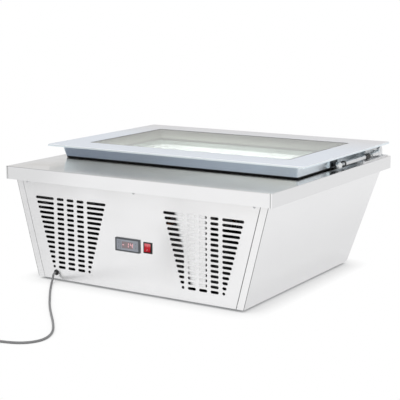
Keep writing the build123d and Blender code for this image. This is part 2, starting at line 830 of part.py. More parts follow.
roll = sheet_roll - baffle_sheet
lean = Vector(*baffle_foot_edge) - Vector(*baffle_top_edge)
edge_foot = Vector(vent_centre + baffle_foot_edge[0], front_inside, baffle_foot_edge[1])
edge_rise = Vector(-lean.X, 0, -lean.Y)
baffle_plane = Plane(origin=edge_foot, x_dir=Vector(edge_rise.Z, 0, -edge_rise.X), z_dir=edge_rise)
with BuildPart() as vent_baffle:
    with BuildSketch(baffle_plane):
        with BuildLine():
            Line((0, 0), (width, 0))
            Line((width, 0), (width, baffle_sheet))
            Line((width, baffle_sheet), (0, baffle_sheet))
            RadiusArc((0, baffle_sheet), (-roll, sheet_roll), roll)
            Line((-roll, sheet_roll), (-sheet_roll, sheet_roll))
            RadiusArc((-sheet_roll, sheet_roll), (0, 0), -sheet_roll)
        make_face()
    extrude(amount=edge_rise.length, both=True)
    block((vent_centre - width, vent_centre + baffle_edge), (front_inside, bulkhead_y),
          (baffle_foot_edge[1], baffle_top_edge[1]), mode=Mode.INTERSECT)
keep(vent_baffle, "vent_baffle")

# Compressor

compressor_x = vent_centre + compressor_inset
compressor_y = (front_inside + bulkhead_y) / 2
foot_under = pan_top + mount_height
shell_foot = foot_under + compressor_foot[2]
shell_top = shell_foot + compressor_height
rim_foot = (shell_foot + shell_top) / 2
compressor_rest = Plane(origin=(compressor_x, compressor_y, shell_foot))
with BuildPart() as compressor:
    with BuildSketch(compressor_rest):
        Circle(compressor_diameter / 2)
    extrude(amount=compressor_height)
    fillet(compressor.edges().group_by(Axis.Z)[-1], compressor_dome)
    fillet(compressor.edges().group_by(Axis.Z)[0], compressor_round)
    bar_z(compressor_x, compressor_y, (rim_foot, rim_foot + compressor_rim),
          compressor_diameter + compressor_rim)
    block((compressor_x - compressor_foot[0] / 2, compressor_x + compressor_foot[0] / 2),
          (compressor_y - compressor_foot[1] / 2, compressor_y + compressor_foot[1] / 2),
          (foot_under, shell_foot))
    for x, y in (discharge_stub, suction_stub):
        bar_z(compressor_x + x, compressor_y + y, (shell_top - stub_rise, shell_top + stub_rise),
              stub_diameter)
keep(compressor, "compressor")

with BuildPart() as compressor_mounts:
    with Locations((compressor_x, compressor_y, (pan_top + foot_under) / 2)):
        with GridLocations(*mount_spread, 2, 2):
            Cylinder(mount_diameter / 2, mount_height)
keep(compressor_mounts, "compressor_mounts")

cover_x = compressor_x - compressor_diameter / 2
cover_z = rim_foot - compressor_rim
with BuildPart() as compressor_terminal_cover:
    block((cover_x - terminal_cover[0], cover_x + compressor_rim),
          (compressor_y - terminal_cover[1] / 2, compressor_y + terminal_cover[1] / 2),
          (cover_z - terminal_cover[2], cover_z))
    fillet(compressor_terminal_cover.edges().filter_by(Axis.Z).group_by(Axis.X)[0], terminal_cover_round)
    bar_z(compressor_x, compressor_y, (shell_foot, shell_top), compressor_diameter + 2 * pin_room,
          mode=Mode.SUBTRACT)
keep(compressor_terminal_cover, "compressor_terminal_cover")

# Condenser and fan behind the left vent

core = (-vent_centre - core_width / 2, -vent_centre + core_width / 2)
fin_y = (front_inside + fin_gap, front_inside + fin_gap + tube_columns * tube_pitch)
column_y = (fin_y[0] + tube_pitch / 2, fin_y[1] - tube_pitch / 2)
row_z = [first_row + row * tube_pitch for row in range(tube_rows)]
bend_room = tube_bend + tube_diameter / 2
tube_ends = (core[0] - bend_room, core[1] + bend_room)
tail_x = core[1] + bend_room + tube_tail
tube_points = []
for y, rows in zip(column_y, (reversed(row_z), row_z)):
    for index, z in enumerate(rows):
        leftward = index % 2 == 0
        tube_points.append((tube_ends[1] if leftward else tube_ends[0], y, z))
        tube_points.append((tube_ends[0] if leftward else tube_ends[1], y, z))
tube_points[0] = (tail_x, column_y[0], row_z[-1])
tube_points[-1] = (tail_x, column_y[1], row_z[-1])
with BuildPart() as condenser_tube:
    tube(tube_points, tube_diameter, tube_bend)
keep(condenser_tube, "condenser_tube")

fin_z = (row_z[0] - tube_pitch / 2, row_z[-1] + tube_pitch / 2)
fin_pitch = (core_width - end_plate) / (fin_count - 1)
with BuildPart() as condenser_fins:
    for index in range(fin_count):
        is_end = index in (0, fin_count - 1)
        foot = pan_top if is_end else fin_z[0]
        with BuildSketch(Plane.YZ.offset(core[0] + index * fin_pitch)):
            with Locations((sum(fin_y) / 2, (foot + fin_z[1]) / 2)):
                Rectangle(fin_y[1] - fin_y[0], fin_z[1] - foot)
            with Locations(*[(y, z) for y in column_y for z in row_z]):
                Circle(tube_diameter / 2 + pin_room, mode=Mode.SUBTRACT)
        extrude(amount=end_plate if is_end else fin)
keep(condenser_fins, "condenser_fins")

fan_z = (row_z[0] + row_z[-1]) / 2
shroud_y = fin_y[1] + shroud_gap
shroud_back = shroud_y + shroud_sheet
ring_radius = fan_radius + fan_gap
with BuildPart() as fan_shroud:
    block(core, (shroud_y, shroud_back), (pan_top, fin_z[1] + shroud_gap))
    bar_y(-vent_centre, (shroud_y, shroud_back + shroud_ring), fan_z, 2 * (ring_radius + shroud_sheet))
    bar_y(-vent_centre, (shroud_y, shroud_back + shroud_ring), fan_z, 2 * ring_radius, mode=Mode.SUBTRACT)
    block(core, (fin_y[0], shroud_back), (fin_z[1] + shroud_gap, fin_z[1] + shroud_gap + shroud_sheet))
keep(fan_shroud, "fan_shroud")

fan_chord = fan_depth / sin(radians(fan_pitch))
blade_tip = (fan_radius ** 2 - (fan_chord * cos(radians(fan_pitch)) / 2) ** 2) ** 0.5
blade_root = fan_hub - blade_lap
fan_y = shroud_back + shroud_ring / 2
with BuildPart() as fan_blade_wheel:
    bar_y(-vent_centre, (fan_y - fan_depth / 2, fan_y + fan_depth / 2), fan_z, 2 * fan_hub)
    for index in range(fan_blades):
        turned = Location((-vent_centre, fan_y, fan_z), (0, 360 * index / fan_blades, 0))
        with Locations(turned * Location(((blade_root + blade_tip) / 2, 0, 0), (fan_pitch, 0, 0))):
            Box(blade_tip - blade_root, blade_thickness, fan_chord - blade_thickness)
    bar_y(-vent_centre, (fan_y - fan_depth, fan_y + fan_depth), fan_z, fan_shaft + 2 * pin_room,
          mode=Mode.SUBTRACT)
keep(fan_blade_wheel, "fan_blade")

bracket_y = fan_y + fan_depth / 2 + fan_gap
motor_y = bracket_y + bracket_sheet
with BuildPart() as fan_motor:
    bar_y(-vent_centre, (motor_y, motor_y + motor_depth), fan_z, motor_diameter)
    fillet(fan_motor.edges().group_by(Axis.Y)[-1], fan_gap)
    bar_y(-vent_centre, (fan_y - fan_depth / 2, motor_y), fan_z, fan_shaft)
keep(fan_motor, "fan_motor")

leg_reach = ring_radius + shroud_sheet + bracket_sheet
bracket_x = (-vent_centre - bracket_width / 2, -vent_centre + bracket_width / 2)
with BuildPart() as fan_bracket:
    block(bracket_x, (bracket_y, motor_y), (fan_z - leg_reach, fan_z + leg_reach))
    for z in (fan_z - leg_reach, fan_z + leg_reach):
        block(bracket_x, (shroud_back, motor_y), (z - bracket_sheet / 2, z + bracket_sheet / 2))
    bar_y(-vent_centre, (bracket_y, motor_y), fan_z, fan_shaft + fan_gap, mode=Mode.SUBTRACT)
keep(fan_bracket, "fan_bracket")

# Refrigerant pipes

discharge_x = compressor_x + discharge_stub[0]
discharge_y = compressor_y + discharge_stub[1]
suction_x = compressor_x + suction_stub[0]
suction_y = compressor_y + suction_stub[1]
stub_top = shell_top + stub_rise
turn_x = tail_x + discharge_run
drier_y = bulkhead_y - drier_ahead
drier_foot = drier_top - drier_length

with BuildPart() as discharge_pipe:
    tube([(discharge_x, discharge_y, stub_top), (discharge_x, discharge_y, pipe_level),
          (turn_x, discharge_y, pipe_level), (turn_x, column_y[0], pipe_level),
          (turn_x, column_y[0], row_z[-1]), (tail_x, column_y[0], row_z[-1])], liquid_tube, pipe_bend)
keep(discharge_pipe, "discharge_pipe")

with BuildPart() as liquid_pipe:
    tube([(tail_x, column_y[1], row_z[-1]), (drier_x, column_y[1], row_z[-1]), (drier_x, drier_y, row_z[-1]),
          (drier_x, drier_y, drier_top)], liquid_tube, pipe_bend)
keep(liquid_pipe, "liquid_pipe")

with BuildPart() as filter_drier:
    bar_z(drier_x, drier_y, (drier_foot, drier_top), drier_diameter)
    fillet(filter_drier.edges().filter_by(GeomType.CIRCLE), end_round * drier_diameter)
keep(filter_drier, "filter_drier")

with BuildPart() as capillary_tube:
    tube([(drier_x, drier_y, drier_foot), (drier_x, drier_y, capillary_level),
          (coil_in_x, drier_y, capillary_level), (coil_in_x, drier_y, coil_z),
          (coil_in_x, coil_end_y, coil_z)], capillary, pipe_bend)
keep(capillary_tube, "capillary_tube")

with BuildPart() as suction_pipe:
    tube([(coil_out_x, coil_end_y, coil_top), (coil_out_x, suction_y, coil_top),
          (suction_x, suction_y, coil_top), (suction_x, suction_y, stub_top)], coil_tube, pipe_bend)
keep(suction_pipe, "suction_pipe")

# Mains cord from its gland along the floor

gland_tip = front - gland_flange_width - gland_neck_length
with BuildPart() as cable_gland:
    bar_y(gland_x, (front - gland_flange_width, front), gland_height, gland_flange)
    bar_y(gland_x, (front, front_inside), gland_height, gland_shank)
    bar_y(gland_x, (front_inside, front_inside + gland_nut), gland_height, gland_flange)
    with BuildSketch(front_plane.offset(gland_flange_width)):
        with Locations((gland_x, gland_height)):
            Circle(gland_shank / 2)
    extrude(amount=gland_neck_length, taper=gland_taper)
keep(cable_gland, "cable_gland")


def easy_bends(points):
    """Radius at each inner point of a route, as large as its two runs allow."""
    radii = []
    for before, here, after in zip(points, points[1:], points[2:]):
        arriving = Vector(*here) - Vector(*before)
        leaving = Vector(*after) - Vector(*here)
        half_turn = radians(arriving.get_angle(leaving)) / 2
        radii.append(bend_share * min(arriving.length, leaving.length) / tan(half_turn))
    return radii


lying = cord_diameter / 2
coil_low = tie_thickness + tie_room + lying
coil_high = coil_low + cord_diameter + coil_gap
cord_route = [(gland_x + x, gland_tip + y, lying + (gland_height - lying) * lift) for x, y, lift in cord_lay]
cord_route += [(gland_x + x, gland_tip + y, coil_low) for x, y in cord_coil_lead]
cord_bends = easy_bends(cord_route)
with BuildPart() as power_cord:
    with BuildLine() as cord_path:
        FilletPolyline(*cord_route, radius=cord_bends)
    with BuildSketch(cord_path.line ^ 0):
        Circle(cord_diameter / 2)
    sweep()
keep(power_cord, "power_cord")

# Put-away coil: it spirals in below, climbs a layer and spirals out above

coil_start = (cord_route[-1][0] - cord_diameter, cord_route[-1][1])
half_step = (cord_diameter + coil_gap) / 2
half_turns = inward_half_turns + 1 + outward_half_turns
coil_ends = [coil_start[1]]
coil_levels = [coil_low]
coil_radii = []
for index in range(half_turns):
    radius = cord_coil_radius - half_step * (inward_half_turns - abs(inward_half_turns - index))
    heading = 1 if index % 2 == 0 else -1
    coil_radii.append(radius)
    coil_ends.append(coil_ends[-1] + 2 * heading * radius)
    coil_levels.append(coil_low if index < inward_half_turns else coil_high)
plug_x = coil_start[0] - cord_coil_radius
with BuildPart() as cord_coil:
    with BuildLine() as coil_path:
        Line((*cord_route[-1],), (*coil_start, coil_low))
        for index, radius in enumerate(coil_radii):
            heading = 1 if index % 2 == 0 else -1
            rise = coil_levels[index + 1] - coil_levels[index]
            side_reach = hypot(radius, rise / 2)
            ThreePointArc(
                (coil_start[0], coil_ends[index], coil_levels[index]),
                (coil_start[0] - heading * side_reach, (coil_ends[index] + coil_ends[index + 1]) / 2,
                 coil_levels[index] + rise / 2),
                (coil_start[0], coil_ends[index + 1], coil_levels[index + 1]),
            )
        Line((coil_start[0], coil_ends[-1], coil_high), (plug_x, coil_ends[-1], coil_high))
    with BuildSketch(coil_path.line ^ 0):
        Circle(cord_diameter / 2)
    sweep()
keep(cord_coil, "cord_coil")

tie_y = (coil_ends[0] + coil_ends[1]) / 2
tie_x = (coil_start[0] - max(coil_radii[::2]) - lying - tie_room,
         coil_start[0] - min(coil_radii) + lying + tie_room)
tie_z = (tie_thickness, coil_high + lying + tie_room)
tie_span = (tie_y - tie_width / 2, tie_y + tie_width / 2)
with BuildPart() as coil_tie:
    block((tie_x[0] - tie_thickness, tie_x[1] + tie_thickness), tie_span, (0, tie_z[1] + tie_thickness))
    block(tie_x, tie_span, tie_z, mode=Mode.SUBTRACT)
keep(coil_tie, "coil_tie")

plug_y = coil_ends[-1]
plug_body_x = plug_x - plug_neck_length
with BuildPart() as plug:
    block((plug_body_x - plug_body[2], plug_body_x), (plug_y - plug_body[0] / 2, plug_y + plug_body[0] / 2),
          (fit, plug_body[1]))
    fillet(plug.edges().filter_by(Axis.X), end_round * plug_body[1])
    with BuildSketch(Plane.YZ.offset(plug_body_x)):
        with Locations((plug_y, coil_high)):
            Circle(plug_neck / 2)
    extrude(amount=plug_neck_length, taper=plug_neck_taper)
    for offset_y in (-plug_pin_pitch, 0, plug_pin_pitch):
        bar_x((plug_body_x - plug_body[2] - plug_pin_length, plug_body_x - plug_body[2]), plug_y + offset_y,
              plug_body[1] / 2, plug_pin)
keep(plug, "plug")

# The least gap of the coil to itself, and tube volumes against section times length

samples = 60
arcs = coil_path.edges().filter_by(GeomType.CIRCLE)
turn_points = [arc.position_at(index / samples) for arc in arcs for index in range(samples)]
least = min((p - q).length for i, p in enumerate(turn_points) for q in turn_points[i + samples:])
section = pi * cord_diameter ** 2 / 4
print("cord bends", [round(radius) for radius in cord_bends])
print("coil's least gap to itself", round(least - cord_diameter, 2))
for word, piece, path in (("cord", power_cord, cord_path), ("coil", cord_coil, coil_path)):
    length = sum(edge.length for edge in path.edges())
    print(word, "length", round(length), "volume share", round(piece.part.volume / section / length, 4))
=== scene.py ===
import json
from math import cos, pi, radians, sin, tan

import bmesh
import bpy
from mathutils import Matrix, Vector


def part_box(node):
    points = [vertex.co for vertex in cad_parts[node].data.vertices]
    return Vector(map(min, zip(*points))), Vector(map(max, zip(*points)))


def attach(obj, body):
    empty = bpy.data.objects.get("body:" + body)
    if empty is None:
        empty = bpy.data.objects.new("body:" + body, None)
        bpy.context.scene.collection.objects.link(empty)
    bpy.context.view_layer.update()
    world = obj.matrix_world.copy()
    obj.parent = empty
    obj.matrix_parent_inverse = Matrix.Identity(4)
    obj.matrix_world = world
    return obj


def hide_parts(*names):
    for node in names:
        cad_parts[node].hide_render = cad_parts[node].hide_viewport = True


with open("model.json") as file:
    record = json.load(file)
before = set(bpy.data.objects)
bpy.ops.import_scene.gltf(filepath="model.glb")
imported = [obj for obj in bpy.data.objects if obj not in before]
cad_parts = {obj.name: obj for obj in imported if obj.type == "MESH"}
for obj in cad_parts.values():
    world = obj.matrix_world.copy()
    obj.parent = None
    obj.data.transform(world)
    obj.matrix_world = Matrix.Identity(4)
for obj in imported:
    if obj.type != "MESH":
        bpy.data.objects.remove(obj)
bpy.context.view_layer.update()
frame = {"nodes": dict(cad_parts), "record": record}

nodes = frame["nodes"]
MM = 0.001

# View of the photograph: metres and degrees
eye = Vector((1.5881, -2.4993, 0.7545))
view_yaw = 32.5865
view_pitch = 10.8049
view_roll = 0.3389
view_lens = 99.876
view_sensor = 36

# Studio: levels of light where one is white, metres, and watts for the power of lamps
floor_size = 40
floor_tone = (0.85, 0.85, 0.85, 1)
floor_shade_reach = 0.06
floor_mirrored = 0.97
floor_far_left = 0.82
floor_left_edge = (-0.4, -0.12)
floor_slant = 0.8
floor_beside = (0.855, 0.98)
floor_beside_reach = (0.42, 0.62)
floor_side_least = 0.85
ambient_level = 0.52
wall_low = (0.62, 0.615, 0.6, 1)
wall_mirrored = (0.88, 0.885, 0.9, 1)
wall_heights = (0.13, 0.17)
room_left = (0.15, 0.145, 0.13, 1)
room_right = (1.19, 1.135, 1.04, 1)
ceiling_left = (0.09, 0.12, 0.195, 1)
ceiling_right = (0.54, 0.59, 0.67, 1)
ceiling_sides = (-0.61, -0.46)
ceiling_ahead = (0.2, 0.55)
ceiling_foot = (0.24, 0.42)
ceiling_top = (0.6, 0.8)
overhead_mirrored = (1.02, 1.02, 1.03, 1)
key_place = Vector((-1.3, -2.6, 2.6))
key_size = 2.4
key_power = 40
fill_place = Vector((2.6, -1.2, 2.2))
fill_size = 2.0
fill_power = 16
overhead_place = Vector((0, 0.1, 2.4))
overhead_size = 1.6
overhead_power = 14
tank_lamp_size = (0.42, 0.04)
tank_lamp_x = -0.09
tank_lamp_from_front = 0.03
tank_lamp_drop = 0.04
tank_lamp_power = 1.7

# Mains cord, as it lies on the floor: millimetres
cord_diameter = 5.6
cord_route = ((-254.5, -323, 23.4), (-254.5, -328, 23.4), (-254.2, -332.6, 18.7), (-254.2, -334.3, 11.7),
              (-252.9, -338.5, 5.7), (-248.5, -346.5, 3.2), (-242, -355.5, 2.8), (-233.5, -366.5, 2.8),
              (-221.5, -382, 2.8), (-204.5, -404.5, 2.8), (-184.5, -429.5, 2.8), (-159.5, -460, 2.8),
              (-116.5, -512, 2.8), (-68.5, -564, 2.8), (-16.5, -617.5, 2.8), (32.5, -676, 2.8),
              (50, -728, 2.8), (28, -768, 2.8), (-22, -786, 2.8), (-75, -787, 2.8), (-115, -790, 5.1),
              (-143, -790, 5.1))
coil_x = -148.6
coil_start_y = -790
coil_radius = 37
coil_low = 5.1
coil_high = 11.3
coil_step = 3.1
coil_inward = 4
coil_outward = 5
coil_half_turn_points = 9

# Small pieces: millimetres and degrees
gasket_width = 10
gasket_lip = 6
gasket_corner = 4
gasket_corner_growth = 0.4
screw_radius = 4
screw_height = 2.2
screw_shank = 1.9
screw_root = 0.72 * screw_shank
screw_length = 8
screw_tip = 0.6
thread_turns = 6
thread_pitch = 1
cross_half_angle = 15
screw_first_turn = 25
screw_next_turn = 67
gland_flange_width = 2
gland_neck_radius = 5.2
plug_pin_length = 19
plug_pin_radius = 2
plug_pin_pitch = 9.5
plug_body_length = 34
plug_roundness = 0.42
plug_neck_radius = 6
plug_neck_ribs = 7
plug_rib_step = 0.3
plug_groove = 0.8
tie_thickness = 1.5
tie_edge = 0.3
tie_corner = 6
tongue_corner = 2.2
tongue_offset = 2
tongue_heights = (-0.5, 0.9)
strut_eye = 16
strut_collar_start = 26
strut_collar_width = 6
strut_collar_radius = 7.5
socket_radius = 9.8
socket_half_turn = 54
socket_step = 9
rod_end_radius = 5
rod_end_core = 3
rod_end_nut = 1.5
rod_end_length = 42
guide_radius = 8
guide_bore = 4.9
guide_length = 24
guide_bore_step = 16
guide_bore_widening = 1.2
guide_groove = 1
digit_pitch = 12.6
digit_size = (6.6, 12)
digit_stroke = 1.5
digit_slant = 0.1
digit_gap = 0.3
key_mark_size = 1.7
key_mark_step = 1.2
key_line = 0.45
switch_centre = (41, -317.8, 125)
rocker_tilt = 10
rocker_face_slope = 12
rocker_mark_rise = 5.4
rocker_mark_out = 4.4
rocker_stroke = (0.8, 4)
rocker_ring = (1.9, 0.6)


def tone(red, green, blue):
    """Colour given as it shows on a screen, from 0 to 255."""
    def linear(level):
        level /= 255
        return level / 12.92 if level <= 0.04045 else ((level + 0.055) / 1.055) ** 2.4
    return (linear(red), linear(green), linear(blue), 1)


# Painted shade along the bends and seams of the sheet metal: metres
painted_crease_shade = tone(66, 67, 70)
edge_width = 0.0009
casing_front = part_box("front_panel")[0][1]
casing_height = 0.2635
casing_half_top = 0.381
casing_half_foot = 0.313
side_lean = (casing_half_top - casing_half_foot) / casing_height
seam_inset = 0.0205
worktop_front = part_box("worktop")[0][1]
skirt_seam_x = 0.395
skirt_seam_half = 0.0006

# Brushed lines, in waves for each metre along the sheet
brush_along = 4

# Which way a face looks: parts of its normal
facing_least = 0.6
upward_edge = (0.4, 0.6)
# Where the lid's painted highlight lies on its rounded edge
crest_start = (0.1, 0.3)
crest_end = (0.9, 0.98)

# Paint of the tank and the lid, with painted shade, reflection and highlight: tones, metres and shares of
# metal
# Painted shade: the tank greys from the rim down to its floor
tank_shade_heights = (0.166, 0.262)
tank_floor_shade_tone = tone(188, 193, 191)
tank_rim_tone = tone(250, 251, 250)
# Lid tones by facing are painted light; the back tone is a painted warm reflection and the crest tone, with
# its lower metal share, a painted highlight
lid_wall_tone = tone(240, 250, 255)
lid_side_tone = tone(239, 248, 255)
lid_side_dullness = 0.06
lid_front_tone = tone(237, 244, 254)
lid_back_reflection_tone = tone(233, 232, 234)
lid_reflection_reach = (0.1, 0.3)
lid_crest_highlight_tone = tone(248, 252, 255)
lid_cloud_tone = tone(180, 184, 192)
lid_metal = 0.88
lid_crest_metal = 0.3


# Materials

class Nodes:
    """Short calls for the shader nodes of a material or the world."""

    def __init__(self, tree):
        self.nodes = tree.nodes
        self.links = tree.links

    def add(self, kind, **settings):
        node = self.nodes.new(kind)
        for name, value in settings.items():
            setattr(node, name, value)
        return node

    def feed(self, node, **inputs):
        """Gives a node's inputs numbers or links and returns its first output."""
        for words, value in inputs.items():
            if words[1:].isdigit():
                socket = node.inputs[int(words[1:])]
            else:
                socket = node.inputs[words.replace("_", " ")]
            if isinstance(value, bpy.types.NodeSocket):
                self.links.new(value, socket)
            else:
                socket.default_value = value
        return node.outputs[0]

    def maths(self, operation, *values):
        node = self.add("ShaderNodeMath", operation=operation)
        return self.feed(node, **{f"_{index}": value for index, value in enumerate(values)})

    def spread(self, value, low, high, start=0.3, end=0.7, kind="LINEAR"):
        """Maps a range of a pattern to a range of levels."""
        node = self.add("ShaderNodeMapRange", interpolation_type=kind)
        return self.feed(node, _0=value, _1=start, _2=end, _3=low, _4=high)

    def colours(self, value, first, second):
        node = self.add("ShaderNodeMix", data_type="RGBA")
        self.feed(node, _0=value, _6=first, _7=second)
        return node.outputs[2]

    def split(self, vector):
        node = self.add("ShaderNodeSeparateXYZ")
        self.feed(node, Vector=vector)
        return node.outputs

    def choice(self, share, first, second):
        """A shader between two."""
        return self.feed(self.add("ShaderNodeMixShader"), _0=share, _1=first, _2=second)

    def ray(self, name):
        return self.add("ShaderNodeLightPath").outputs[f"Is {name} Ray"]

    def seen_directly(self):
        """One for rays that show the surroundings as they are: straight, mirrored or through glass."""
        mirrored = self.maths("MAXIMUM", self.ray("Glossy"), self.ray("Transmission"))
        return self.maths("MAXIMUM", self.ray("Camera"), mirrored)


class Surface(Nodes):
    """A material on one Principled shader."""

    def __init__(self, name, colour, roughness, **values):
        self.material = bpy.data.materials.new(name)
        self.material.use_nodes = True
        super().__init__(self.material.node_tree)
        self.shader = self.nodes["Principled BSDF"]
        self.set("Base Color", colour)
        self.set("Roughness", roughness)
        for words, value in values.items():
            self.set(words.replace("_", " "), value)
        self.coordinates = self.add("ShaderNodeTexCoord").outputs

    def set(self, socket, value):
        self.shader.inputs[socket].default_value = value

    def drive(self, socket, value):
        self.links.new(value, self.shader.inputs[socket])

    def place(self, *stretch):
        """The piece's own coordinates, stretched."""
        node = self.add("ShaderNodeMapping")
        return self.feed(node, Vector=self.coordinates["Object"], Scale=stretch or (1, 1, 1))

    def position(self):
        """Where a point lies on the object at rest: three lengths in metres."""
        return self.split(self.coordinates["Object"])

    def facing(self):
        """The three parts of a face's normal."""
        return self.split(self.coordinates["Normal"])

    def height_on(self, node):
        """How far up a node a point lies, from zero at its foot to one at its top."""
        low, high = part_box(node)
        return self.spread(self.position()[2], 0, 1, low[2], high[2])

    def sideways(self):
        """One on faces to the left and right."""
        return self.maths("GREATER_THAN", self.maths("ABSOLUTE", self.facing()[0]), facing_least)

    def upward(self):
        """One on faces that look up."""
        return self.spread(self.facing()[2], 0, 1, *upward_edge)

    def noise(self, vector, scale, detail=2, rough=0.5):
        node = self.add("ShaderNodeTexNoise")
        return self.feed(node, Vector=vector, Scale=scale, Detail=detail, Roughness=rough)

    def clouds(self, scale=18, detail=3):
        """Cloudy patches, wide unless a larger scale is given."""
        return self.noise(self.place(), scale, detail)

    def grain(self, scale):
        """An even, fine grain."""
        return self.noise(self.place(), scale)

    def bump(self, height, depth, strength=0.4):
        node = self.add("ShaderNodeBump")
        self.drive("Normal", self.feed(node, Height=height, Distance=depth, Strength=strength))

    def brush(self, grain):
        """Coordinates drawn out along the sheet: along X, or along Y on a side."""
        x, y, z = self.position()
        side = self.sideways()
        along = self.feed(self.add("ShaderNodeMix"), _0=side, _2=x, _3=y)
        across = self.maths("ADD", self.feed(self.add("ShaderNodeMix"), _0=side, _2=y, _3=x), z)
        joined = self.add("ShaderNodeCombineXYZ")
        long_grain = self.maths("MULTIPLY", along, brush_along)
        return self.feed(joined, X=long_grain, Y=self.maths("MULTIPLY", across, grain))


def casing_edge(made):
    """One along the casing's front corners, where the sides lean, and along the right panel seam, where shade
    is painted.
    """
    x, y, z = made.position()
    upright = made.maths("SUBTRACT", made.maths("ABSOLUTE", x), made.maths("MULTIPLY", z, side_lean))
    at_corner = made.maths("GREATER_THAN", upright, casing_half_foot - edge_width)
    from_seam = made.maths("ABSOLUTE", made.maths("SUBTRACT", upright, casing_half_foot - seam_inset))
    on_right = made.maths("GREATER_THAN", x, 0)
    at_seam = made.maths("MULTIPLY", made.maths("LESS_THAN", from_seam, edge_width), on_right)
    in_front = made.maths("LESS_THAN", y, casing_front + edge_width)
    return made.maths("MULTIPLY", made.maths("MAXIMUM", at_corner, at_seam), in_front)


def skirt_seam(made):
    """One in the seams of the worktop's front corners, where shade is painted."""
    x, y = made.position()[:2]
    beside = made.maths("ABSOLUTE", made.maths("SUBTRACT", made.maths("ABSOLUTE", x), skirt_seam_x))
    in_front = made.maths("LESS_THAN", y, worktop_front + edge_width)
    return made.maths("MULTIPLY", made.maths("LESS_THAN", beside, skirt_seam_half), in_front)


def brushed_metal(name, light, dark, roughness, grain=900, metal=1.0, depth=0.00002, drawn=0.0,
                  crease=None, top=None, side=None):
    """Sheet metal with fine lines that draw out its shine, cloudy polish and painted shade along its creases.

    Faces that look up or sideways may take a painted tone of their own, for how light falls on them.
    """
    made = Surface(name, light, roughness, Metallic=metal, Anisotropic=drawn)
    if drawn:
        level = made.maths("GREATER_THAN", made.facing()[2], facing_least)
        across = made.add("ShaderNodeCombineXYZ")
        made.drive("Tangent", made.feed(across, Y=level, Z=made.maths("SUBTRACT", 1, level)))
    # Painted tones by facing, standing in for how light falls on the sides and top
    if side:
        sideways = made.sideways()
        light = made.colours(sideways, light, side)
        dark = made.colours(sideways, dark, side)
    if top:
        light = made.colours(made.upward(), light, top)
    lines = made.noise(made.brush(grain), 1, 3, 0.6)
    clouds = made.clouds(6)
    smears = made.noise(made.place(1, 1, 2.5), 14, 4)
    share = made.spread(made.maths("MULTIPLY", lines, clouds), 0, 1, 0.1, 0.4)
    colour = made.colours(share, dark, light)
    # Painted shade: a dark line along the bends and seams
    if crease:
        colour = made.colours(crease(made), colour, painted_crease_shade)
    made.drive("Base Color", colour)
    from_lines = made.spread(lines, -0.08 * roughness, 0.08 * roughness)
    from_smears = made.spread(smears, 0.9 * roughness, 1.1 * roughness)
    made.drive("Roughness", made.maths("ADD", from_lines, from_smears))
    made.bump(lines, depth, 0.3)
    return made.material


def coated(name, light, dark, roughness, grain=1400, depth=0.00004, **values):
    """Paint or moulded plastic with a fine skin and slight clouding."""
    made = Surface(name, light, roughness, **values)
    skin_grain = made.grain(grain)
    made.drive("Base Color", made.colours(made.spread(made.clouds(), 0, 1), dark, light))
    made.drive("Roughness", made.spread(skin_grain, 0.88 * roughness, 1.12 * roughness))
    made.bump(skin_grain, depth)
    return made.material


def lid_paint():
    """Satin blue-grey paint with painted light: tones that differ by facing, a painted warm reflection on top
    towards the hinges and a painted highlight on its rounded edge.
    """
    made = Surface("lid_grey", lid_front_tone, 0.24, Metallic=lid_metal)
    tilt = made.facing()[2]
    # Painted highlight: the rounded edge turns paler and less metallic
    past_wall = made.spread(tilt, 0, 1, *crest_start)
    crest = made.maths("MULTIPLY", past_wall, made.spread(tilt, 1, 0, *crest_end))
    made.drive("Metallic", made.spread(crest, lid_metal, lid_crest_metal, 0, 1))
    sideways = made.sideways()
    # Painted light: tones by facing, and a painted warm reflection on top towards the back
    wall = made.colours(sideways, lid_wall_tone, lid_side_tone)
    warm_reflection = made.spread(made.position()[1], 0, 1, *lid_reflection_reach)
    top = made.colours(warm_reflection, lid_front_tone, lid_back_reflection_tone)
    colour = made.colours(crest, made.colours(made.upward(), wall, top), lid_crest_highlight_tone)
    cloud_share = made.spread(made.clouds(), 0, 0.05)
    made.drive("Base Color", made.colours(cloud_share, colour, lid_cloud_tone))
    skin_grain = made.grain(1800)
    dullness = made.maths("MULTIPLY", sideways, lid_side_dullness)
    made.drive("Roughness", made.maths("ADD", made.spread(skin_grain, 0.21, 0.27), dullness))
    made.bump(skin_grain, 0.000004)
    return made.material


def plated(name, light, dark, roughness):
    """Bright plating with faint turning lines and dull patches."""
    made = Surface(name, light, roughness, Metallic=1.0)
    lines = made.noise(made.place(60, 900, 60), 1, 2)
    dull = made.clouds(90)
    made.drive("Base Color", made.colours(made.spread(dull, 0, 1), dark, light))
    made.drive("Roughness", made.spread(dull, 0.8 * roughness, 1.3 * roughness))
    made.bump(lines, 0.00001, 0.3)
    return made.material


def copper_tube(name, light, dark):
    """Bare copper, darker where it has tarnished."""
    made = Surface(name, light, 0.32, Metallic=1.0)
    tarnish = made.noise(made.place(), 45, 5, 0.65)
    made.drive("Base Color", made.colours(made.spread(tarnish, 0, 1), dark, light))
    made.drive("Roughness", made.spread(tarnish, 0.5, 0.24))
    made.bump(tarnish, 0.00003, 0.3)
    return made.material


def rigid_foam():
    """Poured insulation with its open cells."""
    made = Surface("foam", tone(236, 220, 172), 0.9)
    cells = made.feed(made.add("ShaderNodeTexVoronoi"), Vector=made.place(), Scale=420)
    share = made.spread(cells, 0, 1, 0.1, 0.6)
    made.drive("Base Color", made.colours(share, tone(196, 174, 120), tone(238, 222, 176)))
    made.bump(cells, 0.0004, 0.7)
    return made.material


